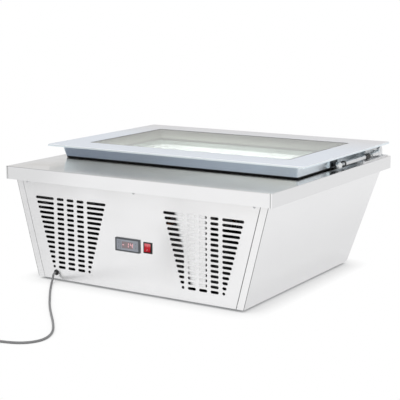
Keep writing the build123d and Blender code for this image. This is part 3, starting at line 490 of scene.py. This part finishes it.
def frame_liner():
    """Moulded liner with painted shade: dark along both edges, where shade falls under the flange and above
    the gasket, and pale between.
    """
    made = Surface("lid_liner", tone(96, 99, 90), 0.5)
    height = made.height_on("lid_underframe")
    above_shaded_edge = made.spread(height, 0, 1, 0.12, 0.24)
    unshaded_band = made.maths("MULTIPLY", made.spread(height, 1, 0, 0.25, 0.85), above_shaded_edge)
    share = made.maths("MULTIPLY", unshaded_band, made.spread(made.clouds(), 0.9, 1))
    # Painted shade: dark at both edges, pale in the band between
    made.drive("Base Color", made.colours(share, tone(62, 63, 56), tone(140, 141, 132)))
    made.bump(made.grain(1400), 0.00004)
    return made.material


def tank_paint():
    """White enamel with painted shade, greying from the rim down to the floor."""
    made = Surface("tank_white", tank_rim_tone, 0.34)
    clean = made.spread(made.position()[2], 0, 1, *tank_shade_heights, "SMOOTHSTEP")
    # Painted shade, darker towards the floor, with a little random variation
    share = made.maths("ADD", clean, made.spread(made.clouds(11, 4), -0.05, 0.05))
    made.drive("Base Color", made.colours(share, tank_floor_shade_tone, tank_rim_tone))
    skin_grain = made.grain(900)
    made.drive("Roughness", made.spread(skin_grain, 0.3, 0.38))
    made.bump(skin_grain, 0.00004)
    return made.material


def float_glass():
    """Clear glass, green through its thickness, that lets the lamps' light through."""
    made = Surface("lid_glass", tone(245, 251, 248), 0.0, IOR=1.5, Transmission_Weight=1.0)
    made.bump(made.clouds(3, 2), 0.0002, 0.02)
    clear = made.add("ShaderNodeBsdfTransparent")
    made.feed(clear, Color=tone(240, 250, 244))
    both = made.choice(made.ray("Shadow"), made.shader.outputs[0], clear.outputs[0])
    made.links.new(both, made.nodes["Material Output"].inputs["Surface"])
    return made.material


def rocker_with_painted_highlight():
    """Clear red plastic, a little darker towards its foot, with a painted highlight: a pale glow over its
    upper end.
    """
    made = Surface("rocker_red", tone(204, 20, 38), 0.2, Emission_Strength=0.14)
    height = made.height_on("switch_rocker")
    above_foot = made.spread(height, 0, 1, 0.05, 0.55)
    share = made.maths("MULTIPLY", above_foot, made.spread(made.clouds(), 0.9, 1))
    made.drive("Base Color", made.colours(share, tone(172, 14, 28), tone(206, 20, 38)))
    # Painted highlight: the emission lights the upper end
    painted_highlight = made.spread(height, 0, 1, 0.6, 0.8)
    made.drive("Emission Color", made.colours(painted_highlight, (0, 0, 0, 1), (1, 0.8, 0.85, 1)))
    made.bump(made.grain(300), 0.00001)
    return made.material


def glowing(name, colour, level):
    """Lit segments, uneven as such lamps are."""
    made = Surface(name, tone(90, 10, 10), 0.4, Emission_Strength=level)
    deep = tuple(0.75 * part for part in colour[:3]) + (1,)
    made.drive("Emission Color", made.colours(made.spread(made.grain(900), 0, 1), deep, colour))
    return made.material


finishes = {
    "stainless": brushed_metal("stainless", tone(248, 248, 249), tone(246, 246, 247), 0.2, metal=0.86,
                               depth=0.000004, drawn=0.9, crease=casing_edge),
    "galvanised": brushed_metal("galvanised", tone(206, 208, 210), tone(176, 179, 182), 0.42, grain=300),
    "white_sheet": coated("white_sheet", tone(250, 251, 250), tone(244, 246, 244), 0.3),
    "collar_plastic": coated("collar_plastic", tone(164, 173, 167), tone(156, 166, 159), 0.35),
    "lid_grey": lid_paint(),
    "lid_liner": frame_liner(),
    "lid_glass": float_glass(),
    "black_rubber": coated("black_rubber", tone(22, 22, 24), tone(15, 15, 17), 0.6, grain=700,
                           depth=0.00008),
    "foam": rigid_foam(),
    "copper": copper_tube("copper", tone(222, 150, 112), tone(122, 66, 44)),
    "black_paint": coated("black_paint", tone(22, 22, 24), tone(15, 15, 17), 0.45),
    "grey_plastic": coated("grey_plastic", tone(86, 90, 94), tone(78, 82, 86), 0.42),
    "face_grey": coated("face_grey", tone(162, 166, 175), tone(153, 157, 166), 0.5),
    "display_dark": coated("display_dark", tone(149, 134, 137), tone(140, 125, 128), 0.12, grain=300,
                           depth=0.00001),
    "black_plastic": coated("black_plastic", tone(26, 26, 27), tone(19, 19, 20), 0.36),
    "rocker_red": rocker_with_painted_highlight(),
    "bright_steel": plated("bright_steel", tone(240, 241, 242), tone(222, 224, 226), 0.34),
    "screw_steel": plated("screw_steel", tone(226, 227, 229), tone(200, 202, 204), 0.3),
    "cord_grey": coated("cord_grey", tone(138, 138, 139), tone(126, 126, 127), 0.5, grain=600,
                        depth=0.00006),
}
# Painted shade: the top takes a darker, warmer tone and the sides a darker tone than the front of the same
# sheet
polished_top = brushed_metal("polished_stainless", tone(244, 244, 245), tone(241, 241, 242), 0.13, grain=700,
                             depth=0.000004, drawn=0.9, crease=skirt_seam, top=tone(222, 218, 213),
                             side=tone(229, 229, 230))
shaded_sheet = coated("shaded_sheet", tone(253, 253, 253), tone(250, 250, 250), 0.4)
aged_copper = copper_tube("aged_copper", tone(92, 56, 42), tone(50, 32, 26))
dark_steel = plated("dark_steel", tone(104, 107, 112), tone(74, 77, 82), 0.3)
pale_steel = brushed_metal("pale_steel", tone(250, 250, 251), tone(240, 241, 243), 0.35, grain=600,
                           metal=0.4)
red_glow = glowing("readout_red", (1.0, 0.56, 0.6, 1), 1.1)
white_print = coated("white_print", tone(226, 150, 156), tone(218, 140, 146), 0.5)
dark_print = coated("dark_print", tone(104, 108, 116), tone(96, 100, 108), 0.5)

for subpart in frame["record"]["subparts"]:
    node = nodes[subpart["node"]]
    node.data.materials.clear()
    node.data.materials.append(finishes[subpart["material_slot"]])
own_finishes = {
    "worktop": polished_top,
    "tank": tank_paint(),
    "vent_baffle": shaded_sheet,
    "hinge_base_left": pale_steel,
    "hinge_base_right": pale_steel,
    "hinge_arm_left": pale_steel,
    "hinge_arm_right": pale_steel,
    "lid_studs": dark_steel,
    "suction_pipe": aged_copper,
    "discharge_pipe": aged_copper,
}
for name, finish in own_finishes.items():
    nodes[name].data.materials[0] = finish


# Shapes

def skin(loops, ring=False):
    """Points and faces of a surface through equal loops, capped at its ends or closed on itself."""
    count = len(loops[0])
    points = [point for loop in loops for point in loop]
    faces = []
    for index in range(len(loops) if ring else len(loops) - 1):
        here = index * count
        there = (index + 1) % len(loops) * count
        for step in range(count):
            after = (step + 1) % count
            faces.append((here + step, here + after, there + after, there + step))
    if not ring:
        faces.append(tuple(range(count)))
        faces.append(tuple(len(points) - count + step for step in range(count)))
    return points, faces


def circle(radius, height, steps):
    """Loop round the Z axis."""
    turns = [2 * pi * step / steps for step in range(steps)]
    return [(radius * cos(turn), radius * sin(turn), height) for turn in turns]


def rounded(size, corner, steps=6):
    """Outline of a rectangle with round corners, as pairs."""
    points = []
    for turn, (across, up) in enumerate(((1, 1), (-1, 1), (-1, -1), (1, -1))):
        middle = (across * (size[0] / 2 - corner), up * (size[1] / 2 - corner))
        for step in range(steps + 1):
            angle = (turn + step / steps) * pi / 2
            points.append((middle[0] + corner * cos(angle), middle[1] + corner * sin(angle)))
    return points


def turned(profile, ring=False, steps=48):
    """A turned shape on the Z axis from its radii and heights."""
    return skin([circle(radius, height, steps) for radius, height in profile], ring)


def plate(outline, back, front):
    """A flat shape between two heights."""
    return skin([[(x, y, height) for x, y in outline] for height in (back, front)])


def piece(name, shapes, slot, body, replaced=(), finish=None, sharp=35):
    """One object from shapes in millimetres, each with the place it stands at."""
    mesh = bpy.data.meshes.new(name)
    work = bmesh.new()
    for (points, faces), place in shapes:
        corners = [work.verts.new(MM * (place @ Vector(point))) for point in points]
        for face in faces:
            work.faces.new([corners[index] for index in face])
    bmesh.ops.recalc_face_normals(work, faces=work.faces)
    work.to_mesh(mesh)
    work.free()
    mesh.shade_smooth()
    mesh.set_sharp_from_angle(angle=radians(sharp))
    mesh.materials.append(finish or finishes[slot])
    made = bpy.data.objects.new(name, mesh)
    bpy.context.scene.collection.objects.link(made)
    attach(made, body)
    if replaced:
        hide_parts(*replaced)
    return made


def at(x, y, z):
    return Matrix.Translation((x, y, z))


def corner_pair(node):
    """A node's lowest and highest corners in millimetres."""
    low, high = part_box(node)
    return Vector(low) / MM, Vector(high) / MM


facing_up = Matrix.Identity(4)
facing_front = Matrix.Rotation(pi / 2, 4, "X")
facing_back = Matrix.Rotation(-pi / 2, 4, "X")
facing_right = Matrix.Rotation(pi / 2, 4, "Y")
facing_left = Matrix.Rotation(-pi / 2, 4, "Y")


# Lid gasket: a strip with two soft bulbs, the outer one a wide lip

def lid_gasket():
    low, high = corner_pair("lid_gasket")
    middle = (low + high) / 2
    size = high - low - Vector((gasket_width, gasket_width, 0))
    bulb = ((0.18, 0.3), (0.36, 0.07), (0.56, 0), (0.76, 0.07), (0.92, 0.25), (1, 0.5), (1, 1))
    profile = [(-across, up) for across, up in reversed(bulb)] + [(0, 0.42), *bulb]
    loops = []
    for across, up in profile:
        reach = across * gasket_width / 2 + max(across, 0) * gasket_lip
        corner = gasket_corner + gasket_corner_growth * reach
        outline = rounded((size.x + 2 * reach, size.y + 2 * reach), corner)
        loops.append([(x, y, up * size.z) for x, y in outline])
    strip = (skin(loops, ring=True), at(middle.x, middle.y, low.z))
    return piece("gasket_strip", [strip], "black_rubber", "lid", ["lid_gasket"])


lid_gasket()


# Pan-head screws with a cross recess

def cross(arm, height, steps):
    """Outline of a cross whose arms are narrow, with its points at equal turns."""
    points = []
    for step in range(steps):
        turn = 2 * pi * step / steps
        off_arm = (turn + pi / 4) % (pi / 2) - pi / 4
        if abs(off_arm) < radians(cross_half_angle + 0.1):
            reach = arm / cos(off_arm)
        else:
            reach = arm * tan(radians(cross_half_angle)) / abs(sin(off_arm))
        points.append((reach * cos(turn), reach * sin(turn), height))
    return points


def screw(steps=48):
    """A domed head on its threaded shank, standing on Z = 0."""
    radius = screw_radius
    height = screw_height
    profile = [(0.7 * screw_shank, -screw_length)]
    for turn in range(thread_turns):
        crest = screw_tip - screw_length + turn * thread_pitch
        profile += [(screw_shank, crest), (screw_root, crest + thread_pitch / 2)]
    profile += [(screw_root, 0), (radius, 0), (radius, 0.3 * height), (0.93 * radius, 0.6 * height),
                (0.78 * radius, 0.86 * height), (0.64 * radius, height)]
    loops = [circle(*rung, steps) for rung in profile]
    loops.append(cross(0.56 * radius, height, steps))
    loops.append(cross(0.4 * radius, 0.4 * height, steps))
    return skin(loops)


def screws(name, node, body, places):
    """A group of screws in place of a node: each at its seat, facing its way, turned by hand."""
    shapes = []
    for index, (seat, facing) in enumerate(places):
        by_hand = Matrix.Rotation(radians(screw_first_turn + screw_next_turn * index), 4, "Z")
        shapes.append((screw(), at(*seat) @ facing @ by_hand))
    return piece(name, shapes, "screw_steel", body, [node])


low, high = corner_pair("panel_screws")
screws("panel_screw_set", "panel_screws", "cabinet",
       [((x, low.y + screw_height, (low.z + high.z) / 2), facing_front)
        for x in (low.x + screw_radius, 0, high.x - screw_radius)])
low, high = corner_pair("hinge_screws")
screws("hinge_screw_set", "hinge_screws", "cabinet",
       [((x, y, high.z - screw_height), facing_up)
        for x in (low.x + screw_radius, high.x - screw_radius)
        for y in (low.y + screw_radius, high.y - screw_radius)])
low, high = corner_pair("arm_screws")
screws("arm_screw_set", "arm_screws", "lid",
       [((x, y, (low.z + high.z) / 2), facing)
        for x, facing in ((low.x + screw_height, facing_left), (high.x - screw_height, facing_right))
        for y in (low.y + screw_radius, high.y - screw_radius)])


# Strut fittings: ball sockets at both ends, a black seal in front and a black guide behind

def ball_socket():
    turns = [radians(turn) for turn in range(-socket_half_turn, socket_half_turn + 1, socket_step)]
    return turned([(socket_radius * cos(turn), socket_radius * sin(turn)) for turn in turns])


def collar_seal():
    """A ring with a groove round its middle."""
    profile = ((0.82, -0.02), (1.02, -0.02), (1.05, 0.06), (1.05, 0.36), (0.98, 0.42), (0.98, 0.56),
               (1.05, 0.62), (1.05, 0.94), (1.02, 1.02), (0.82, 1.02))
    return turned([(strut_collar_radius * radius, strut_collar_width * along) for radius, along in profile],
                  ring=True)


def rod_guide():
    """A grooved sleeve on the cylinder's end, its bore wider towards the cylinder."""
    radius = guide_radius
    length = guide_length
    groove = radius - guide_groove
    wide_bore = guide_bore + guide_bore_widening
    return turned([(guide_bore, 0), (groove, 0), (radius, guide_groove), (radius, 0.4 * length),
                   (groove, 0.44 * length), (groove, 0.56 * length), (radius, 0.6 * length),
                   (radius, length - guide_groove), (groove, length), (wide_bore, length),
                   (wide_bore, guide_bore_step), (guide_bore, guide_bore_step)], ring=True)


def rod_end():
    """A sleeve over the rod's end, with a wider nut near the ball socket."""
    radius = rod_end_radius
    length = rod_end_length
    nut = radius + rod_end_nut
    return turned([(rod_end_core, -length), (radius - 1, -length), (radius, 1 - length),
                   (radius, -0.6 * length), (nut, -0.5 * length), (nut, -0.2 * length),
                   (rod_end_core, -0.1 * length)])


def strut_fittings(word):
    cylinder = f"strut_cylinder_{word}"
    rod = f"strut_rod_{word}"
    low, high = corner_pair(cylinder)
    x = (low.x + high.x) / 2
    z = low.z + strut_eye / 2
    front_eye = low.y + strut_eye / 2
    back_eye = corner_pair(rod)[1].y - strut_eye / 2
    collar_end = front_eye + strut_collar_start + strut_collar_width
    socket = [(ball_socket(), at(x, front_eye, z) @ facing_right)]
    piece(f"strut_socket_{word}", socket, "bright_steel", cylinder)
    seals = [(collar_seal(), at(x, collar_end, z) @ facing_front),
             (rod_guide(), at(x, high.y + guide_bore_step, z) @ facing_front)]
    piece(f"strut_seal_{word}", seals, "black_plastic", cylinder)
    end = [(ball_socket(), at(x, back_eye, z) @ facing_right), (rod_end(), at(x, back_eye, z) @ facing_back)]
    piece(f"strut_end_{word}", end, "bright_steel", rod)


strut_fittings("left")
strut_fittings("right")


# Temperature readout, key symbols and switch marks

def stroke(length, width):
    """Outline of a lit segment with pointed ends."""
    half = length / 2
    end = half - width / 2
    return [(-half, 0), (-end, -width / 2), (end, -width / 2), (half, 0), (end, width / 2), (-end, width / 2)]


def readout(text, sink=0.3, proud=0.12):
    """Seven-segment figures on the display window."""
    low, high = corner_pair("display_lens")
    width, height = digit_size
    upright = Matrix.Rotation(pi / 2, 4, "Z")
    across = plate(stroke(width - digit_gap, digit_stroke), -sink, proud)
    along = plate(stroke(height / 2 - digit_gap, digit_stroke), -sink, proud)
    segments = {"b": (along, at(width / 2, height / 4, 0) @ upright),
                "c": (along, at(width / 2, -height / 4, 0) @ upright),
                "f": (along, at(-width / 2, height / 4, 0) @ upright),
                "g": (across, at(0, 0, 0))}
    figures = {"-": "g", "1": "bc", "4": "bcfg"}
    slant = Matrix.Identity(4)
    slant[0][1] = digit_slant
    front = at((low.x + high.x) / 2, low.y, (low.z + high.z) / 2) @ facing_front
    shapes = []
    for index, figure in enumerate(text):
        cell = at(digit_pitch * (index - (len(text) - 1) / 2), 0, 0)
        for name in figures[figure]:
            shape, place = segments[name]
            shapes.append((shape, front @ cell @ slant @ place))
    return piece("readout", shapes, "display_dark", "cabinet", finish=red_glow)


def triangle(size):
    return [(-size, -0.6 * size), (size, -0.6 * size), (0, 0.9 * size)]


def bar(width, height):
    x = width / 2
    y = height / 2
    return [(-x, -y), (x, -y), (x, y), (-x, y)]


def hoop(radius, width, back, front):
    """A flat ring."""
    inner = radius - width
    return turned([(inner, back), (radius, back), (radius, front), (inner, front)], ring=True)


def key_mark(name, shapes, sink=0.3, proud=0.06):
    """A printed symbol on a key's front, from outlines and from rings given by their radius."""
    low, high = corner_pair(name)
    front = at((low.x + high.x) / 2, low.y, (low.z + high.z) / 2) @ facing_front
    made = []
    for outline, turn, place in shapes:
        if isinstance(outline, list):
            flat = plate(outline, -sink, proud)
        else:
            flat = hoop(outline, key_line, -sink, proud)
        made.append((flat, front @ at(*place, 0) @ Matrix.Rotation(radians(turn), 4, "Z")))
    return piece(f"{name}_mark", made, "face_grey", name, finish=dark_print)


readout("-14")
key_mark("key_up", [(triangle(key_mark_size), 0, (0, 0))])
key_mark("key_down", [(triangle(key_mark_size), 180, (0, 0))])
key_mark("key_power", [(key_mark_size, 0, (0, 0)), (bar(key_line, 2), 0, (0, key_mark_step))])
key_mark("key_set", [(bar(4, 0.5), 0, (0, height)) for height in (-key_mark_step, 0, key_mark_step)])


def rocker_marks(sink=0.5, proud=0.12):
    """A stroke on the upper face and a ring on the lower one."""
    pivot = at(*switch_centre) @ Matrix.Rotation(radians(-rocker_tilt), 4, "X") @ facing_front
    upper = plate(bar(*rocker_stroke), -sink, proud)
    lower = hoop(*rocker_ring, -sink, proud)
    shapes = []
    for way, shape in ((1, upper), (-1, lower)):
        face = at(0, way * rocker_mark_rise, rocker_mark_out)
        shapes.append((shape, pivot @ face @ Matrix.Rotation(radians(way * rocker_face_slope), 4, "X")))
    return piece("rocker_marks", shapes, "rocker_red", "switch_rocker", finish=white_print)


rocker_marks()


# Mains cord with its gland, plug and tie

def cord_points():
    """The route along the floor, then the put-away coil turn by turn."""
    points = list(cord_route)
    points.append((coil_x, coil_start_y, coil_low))
    y = coil_start_y
    for index in range(coil_inward + 1 + coil_outward):
        radius = coil_radius - coil_step * (coil_inward - abs(coil_inward - index))
        heading = 1 if index % 2 == 0 else -1
        start = coil_low if index <= coil_inward else coil_high
        end = coil_low if index < coil_inward else coil_high
        for step in range(1, coil_half_turn_points + 1):
            share = step / coil_half_turn_points
            across = radius * sin(pi * share)
            along = radius * (1 - cos(pi * share))
            points.append((coil_x - heading * across, y + heading * along, start + (end - start) * share))
        y += 2 * heading * radius
    points.append((coil_x - coil_radius / 2, y, coil_high))
    points.append((coil_x - coil_radius, y, coil_high))
    return points


def mains_cord():
    curve = bpy.data.curves.new("mains_cord", "CURVE")
    curve.dimensions = "3D"
    spline = curve.splines.new("NURBS")
    points = cord_points()
    spline.points.add(len(points) - 1)
    for point, place in zip(spline.points, points):
        point.co = (*(MM * Vector(place)), 1)
    spline.order_u = 3
    spline.use_endpoint_u = True
    spline.resolution_u = 6
    curve.bevel_depth = MM * cord_diameter / 2
    curve.bevel_resolution = 5
    curve.use_fill_caps = True
    curve.materials.append(finishes["cord_grey"])
    made = bpy.data.objects.new("mains_cord", curve)
    bpy.context.scene.collection.objects.link(made)
    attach(made, "cabinet")
    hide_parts("power_cord", "cord_coil")
    return made


def cord_gland():
    """A flanged bush with a short rounded neck."""
    low, high = corner_pair("cable_gland")
    panel = corner_pair("front_panel")[0].y
    flange = (high.x - low.x) / 2
    face = gland_flange_width
    neck = gland_neck_radius
    tip = panel - low.y
    mouth = cord_diameter / 2
    profile = [(flange - 2, -2), (flange - 0.5, 0), (flange, 0.5), (flange, face - 0.7),
               (flange - 0.3, face - 0.2), (flange - 0.9, face), (neck + 0.5, face), (neck + 0.2, face + 0.3),
               (neck, tip - 0.6), (neck - 0.5, tip), (mouth + 0.5, tip), (mouth + 0.1, tip - 1)]
    place = at((low.x + high.x) / 2, panel, (low.z + high.z) / 2) @ facing_front
    return piece("gland_bush", [(turned(profile), place)], "black_plastic", "cabinet", ["cable_gland"])


def plug_body(size, rise):
    """A moulding along X that narrows and lifts from its face to the cord's height."""
    sections = ((0, 0.9, 0.88, 0), (0.03, 0.97, 0.96, 0), (0.1, 1, 1, 0), (0.42, 1, 1, 0),
                (0.6, 0.9, 0.97, 0.1), (0.78, 0.7, 0.88, 0.4), (0.92, 0.5, 0.76, 0.8), (1, 0.38, 0.66, 1))
    loops = []
    for along, wide, tall, lift in sections:
        width = wide * size.y
        height = tall * size.z
        outline = rounded((width, height), plug_roundness * min(width, height))
        loops.append([(along * plug_body_length, y, lift * rise + z) for y, z in outline])
    return skin(loops)


def plug_neck(length):
    """A sleeve with ribs that narrow towards the cord."""
    profile = [(plug_neck_radius, -1)]
    for rib in range(plug_neck_ribs):
        start = rib * length / plug_neck_ribs
        radius = plug_neck_radius - plug_rib_step * rib
        groove = radius - plug_groove
        profile += [(radius, start + 0.2), (radius, start + 1.7), (groove, start + 2), (groove, start + 2.7)]
    profile.append((cord_diameter / 2 + 0.2, length))
    return turned(profile)


def mains_plug():
    """A moulded body with a ribbed neck, and three round pins in a row."""
    low, high = corner_pair("plug")
    middle = (low + high) / 2
    face = low.x + plug_pin_length
    neck = face + plug_body_length
    shapes = [(plug_body(high - low, coil_high - middle.z), at(face, middle.y, middle.z)),
              (plug_neck(high.x - neck), at(neck, middle.y, coil_high) @ facing_right)]
    body = piece("plug_moulding", shapes, "black_plastic", "cabinet", ["plug"])
    radius = plug_pin_radius
    length = plug_pin_length
    pin = turned([(radius, -1), (radius, 0.86 * length), (radius - 0.15, 0.94 * length),
                  (radius - 0.6, 0.985 * length), (radius - 1.3, length)], steps=24)
    pins = [(pin, at(face, middle.y + offset, middle.z) @ facing_left)
            for offset in (-plug_pin_pitch, 0, plug_pin_pitch)]
    return body, piece("plug_pins", pins, "bright_steel", "cabinet", ["plug"])


def coil_strap():
    """A soft strap round the coil, its free end lying over the top."""
    low, high = corner_pair("coil_tie")
    size = high - low
    middle = (low + high) / 2
    half = size.y / 2
    edge = tie_edge
    depth = tie_thickness
    profile = ((0, half - edge), (0, edge - half), (edge, -half), (depth - edge, -half), (depth, edge - half),
               (depth, half - edge), (depth - edge, half), (edge, half))
    loops = []
    for inset, height in profile:
        outline = rounded((size.x - 2 * inset, size.z - 2 * inset), tie_corner - inset)
        loops.append([(x, y, height) for x, y in outline])
    band = (skin(loops, ring=True), at(*middle) @ facing_front)
    outline = rounded((0.55 * size.x, 0.86 * size.y), tongue_corner)
    tongue = (plate(outline, *tongue_heights), at(middle.x + tongue_offset, middle.y, high.z))
    return piece("coil_strap", [band, tongue], "black_plastic", "cabinet", ["coil_tie"])


cord = mains_cord()
mains_plug()
coil_strap()
cord_gland()


# Camera, floor and light

camera = bpy.data.objects.new("camera", bpy.data.cameras.new("camera"))
camera.data.lens = view_lens
camera.data.sensor_width = view_sensor
camera.matrix_world = (Matrix.Translation(eye) @ Matrix.Rotation(radians(view_yaw), 4, "Z")
                       @ Matrix.Rotation(radians(90 - view_pitch), 4, "X")
                       @ Matrix.Rotation(radians(-view_roll), 4, "Z"))
bpy.context.scene.collection.objects.link(camera)
bpy.context.scene.camera = camera
bpy.context.scene.view_settings.view_transform = "Standard"


def studio_world():
    """Even light, white to the eye; metal mirrors pale walls and, ahead and above, a dimmer ceiling."""
    world = bpy.data.worlds.new("studio")
    bpy.context.scene.world = world
    world.use_nodes = True
    world.cycles.sampling_method = "NONE"
    made = Nodes(world.node_tree)
    ambient = made.nodes["Background"]
    made.feed(ambient, Color=(1, 1, 1, 1), Strength=ambient_level)
    sky_x, sky_y, sky_z = made.split(made.add("ShaderNodeTexCoord").outputs["Generated"])
    ahead = made.spread(made.maths("MULTIPLY", sky_y, -1), 0, 1, *ceiling_ahead, "SMOOTHSTEP")
    above = made.spread(sky_z, 0, 1, *ceiling_foot, "SMOOTHSTEP")
    below = made.spread(sky_z, 1, 0, *ceiling_top, "SMOOTHSTEP")
    wall = made.colours(made.spread(sky_z, 0, 1, *wall_heights), wall_low, wall_mirrored)
    wall = made.colours(below, overhead_mirrored, wall)
    side = made.spread(sky_x, 0, 1, *ceiling_sides)
    room = made.colours(side, room_left, room_right)
    ceiling = made.colours(side, ceiling_left, ceiling_right)
    room = made.colours(above, room, ceiling)
    mirrored = made.colours(made.maths("MULTIPLY", ahead, below), wall, room)
    colour = made.colours(made.ray("Glossy"), (1, 1, 1, 1), mirrored)
    white = made.feed(made.add("ShaderNodeBackground"), Color=colour, Strength=1)
    both = made.choice(made.seen_directly(), ambient.outputs[0], white)
    made.links.new(both, made.nodes["World Output"].inputs["Surface"])


def studio_floor():
    """White paper that keeps the shade close under the object."""
    mesh = bpy.data.meshes.new("floor")
    reach = floor_size / 2
    corners = [(-reach, -reach, 0), (reach, -reach, 0), (reach, reach, 0), (-reach, reach, 0)]
    mesh.from_pydata(corners, [], [(0, 1, 2, 3)])
    floor = bpy.data.objects.new("floor", mesh)
    bpy.context.scene.collection.objects.link(floor)
    made = Surface("floor", floor_tone, 0.9)
    shade = made.add("ShaderNodeAmbientOcclusion")
    made.feed(shade, Distance=floor_shade_reach)
    x, y = made.position()[:2]
    in_front = made.maths("MINIMUM", made.maths("SUBTRACT", y, casing_front), 0)
    slanted = made.maths("SUBTRACT", x, made.maths("MULTIPLY", in_front, floor_slant))
    lit = made.spread(slanted, floor_far_left, floor_mirrored, *floor_left_edge, "SMOOTHSTEP")
    at_front = made.maths("LESS_THAN", y, casing_front)
    beside = made.maths("MAXIMUM", made.spread(x, *floor_beside, *floor_beside_reach), at_front)
    mirrored = made.maths("MULTIPLY", lit, beside)
    level = made.feed(made.add("ShaderNodeMix"), _0=made.ray("Glossy"), _2=1.0, _3=mirrored)
    bright = made.feed(made.add("ShaderNodeEmission"), Strength=level)
    in_side = made.maths("MULTIPLY", made.ray("Glossy"), made.maths("SUBTRACT", 1, at_front))
    least = made.maths("MULTIPLY", in_side, floor_side_least)
    unshaded = made.maths("MAXIMUM", shade.outputs["AO"], least)
    open_floor = made.maths("MULTIPLY", made.seen_directly(), unshaded)
    both = made.choice(open_floor, made.shader.outputs[0], bright)
    made.links.new(both, made.nodes["Material Output"].inputs["Surface"])
    mesh.materials.append(made.material)


def soft_lamp(name, place, size, power, aim=Vector((0, 0, 0))):
    """A soft oblong light that doesn't show in the metal."""
    light = bpy.data.lights.new(name, "AREA")
    light.shape = "RECTANGLE"
    light.size, light.size_y = size
    light.energy = power
    lamp = bpy.data.objects.new(name, light)
    lamp.location = place
    lamp.rotation_euler = (aim - place).to_track_quat("-Z", "Y").to_euler()
    lamp.visible_camera = False
    lamp.visible_glossy = False
    lamp.visible_transmission = False
    bpy.context.scene.collection.objects.link(lamp)


studio_world()
studio_floor()
soft_lamp("key", key_place, (key_size, key_size), key_power)
soft_lamp("fill", fill_place, (fill_size, fill_size), fill_power)
soft_lamp("overhead", overhead_place, (overhead_size, overhead_size), overhead_power)
tank_low, tank_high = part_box("tank")
in_tank = Vector((tank_lamp_x, tank_low[1] + tank_lamp_from_front, tank_high[2] - tank_lamp_drop))
soft_lamp("tank", in_tank, tank_lamp_size, tank_lamp_power, in_tank + Vector((0, 1, 0)))
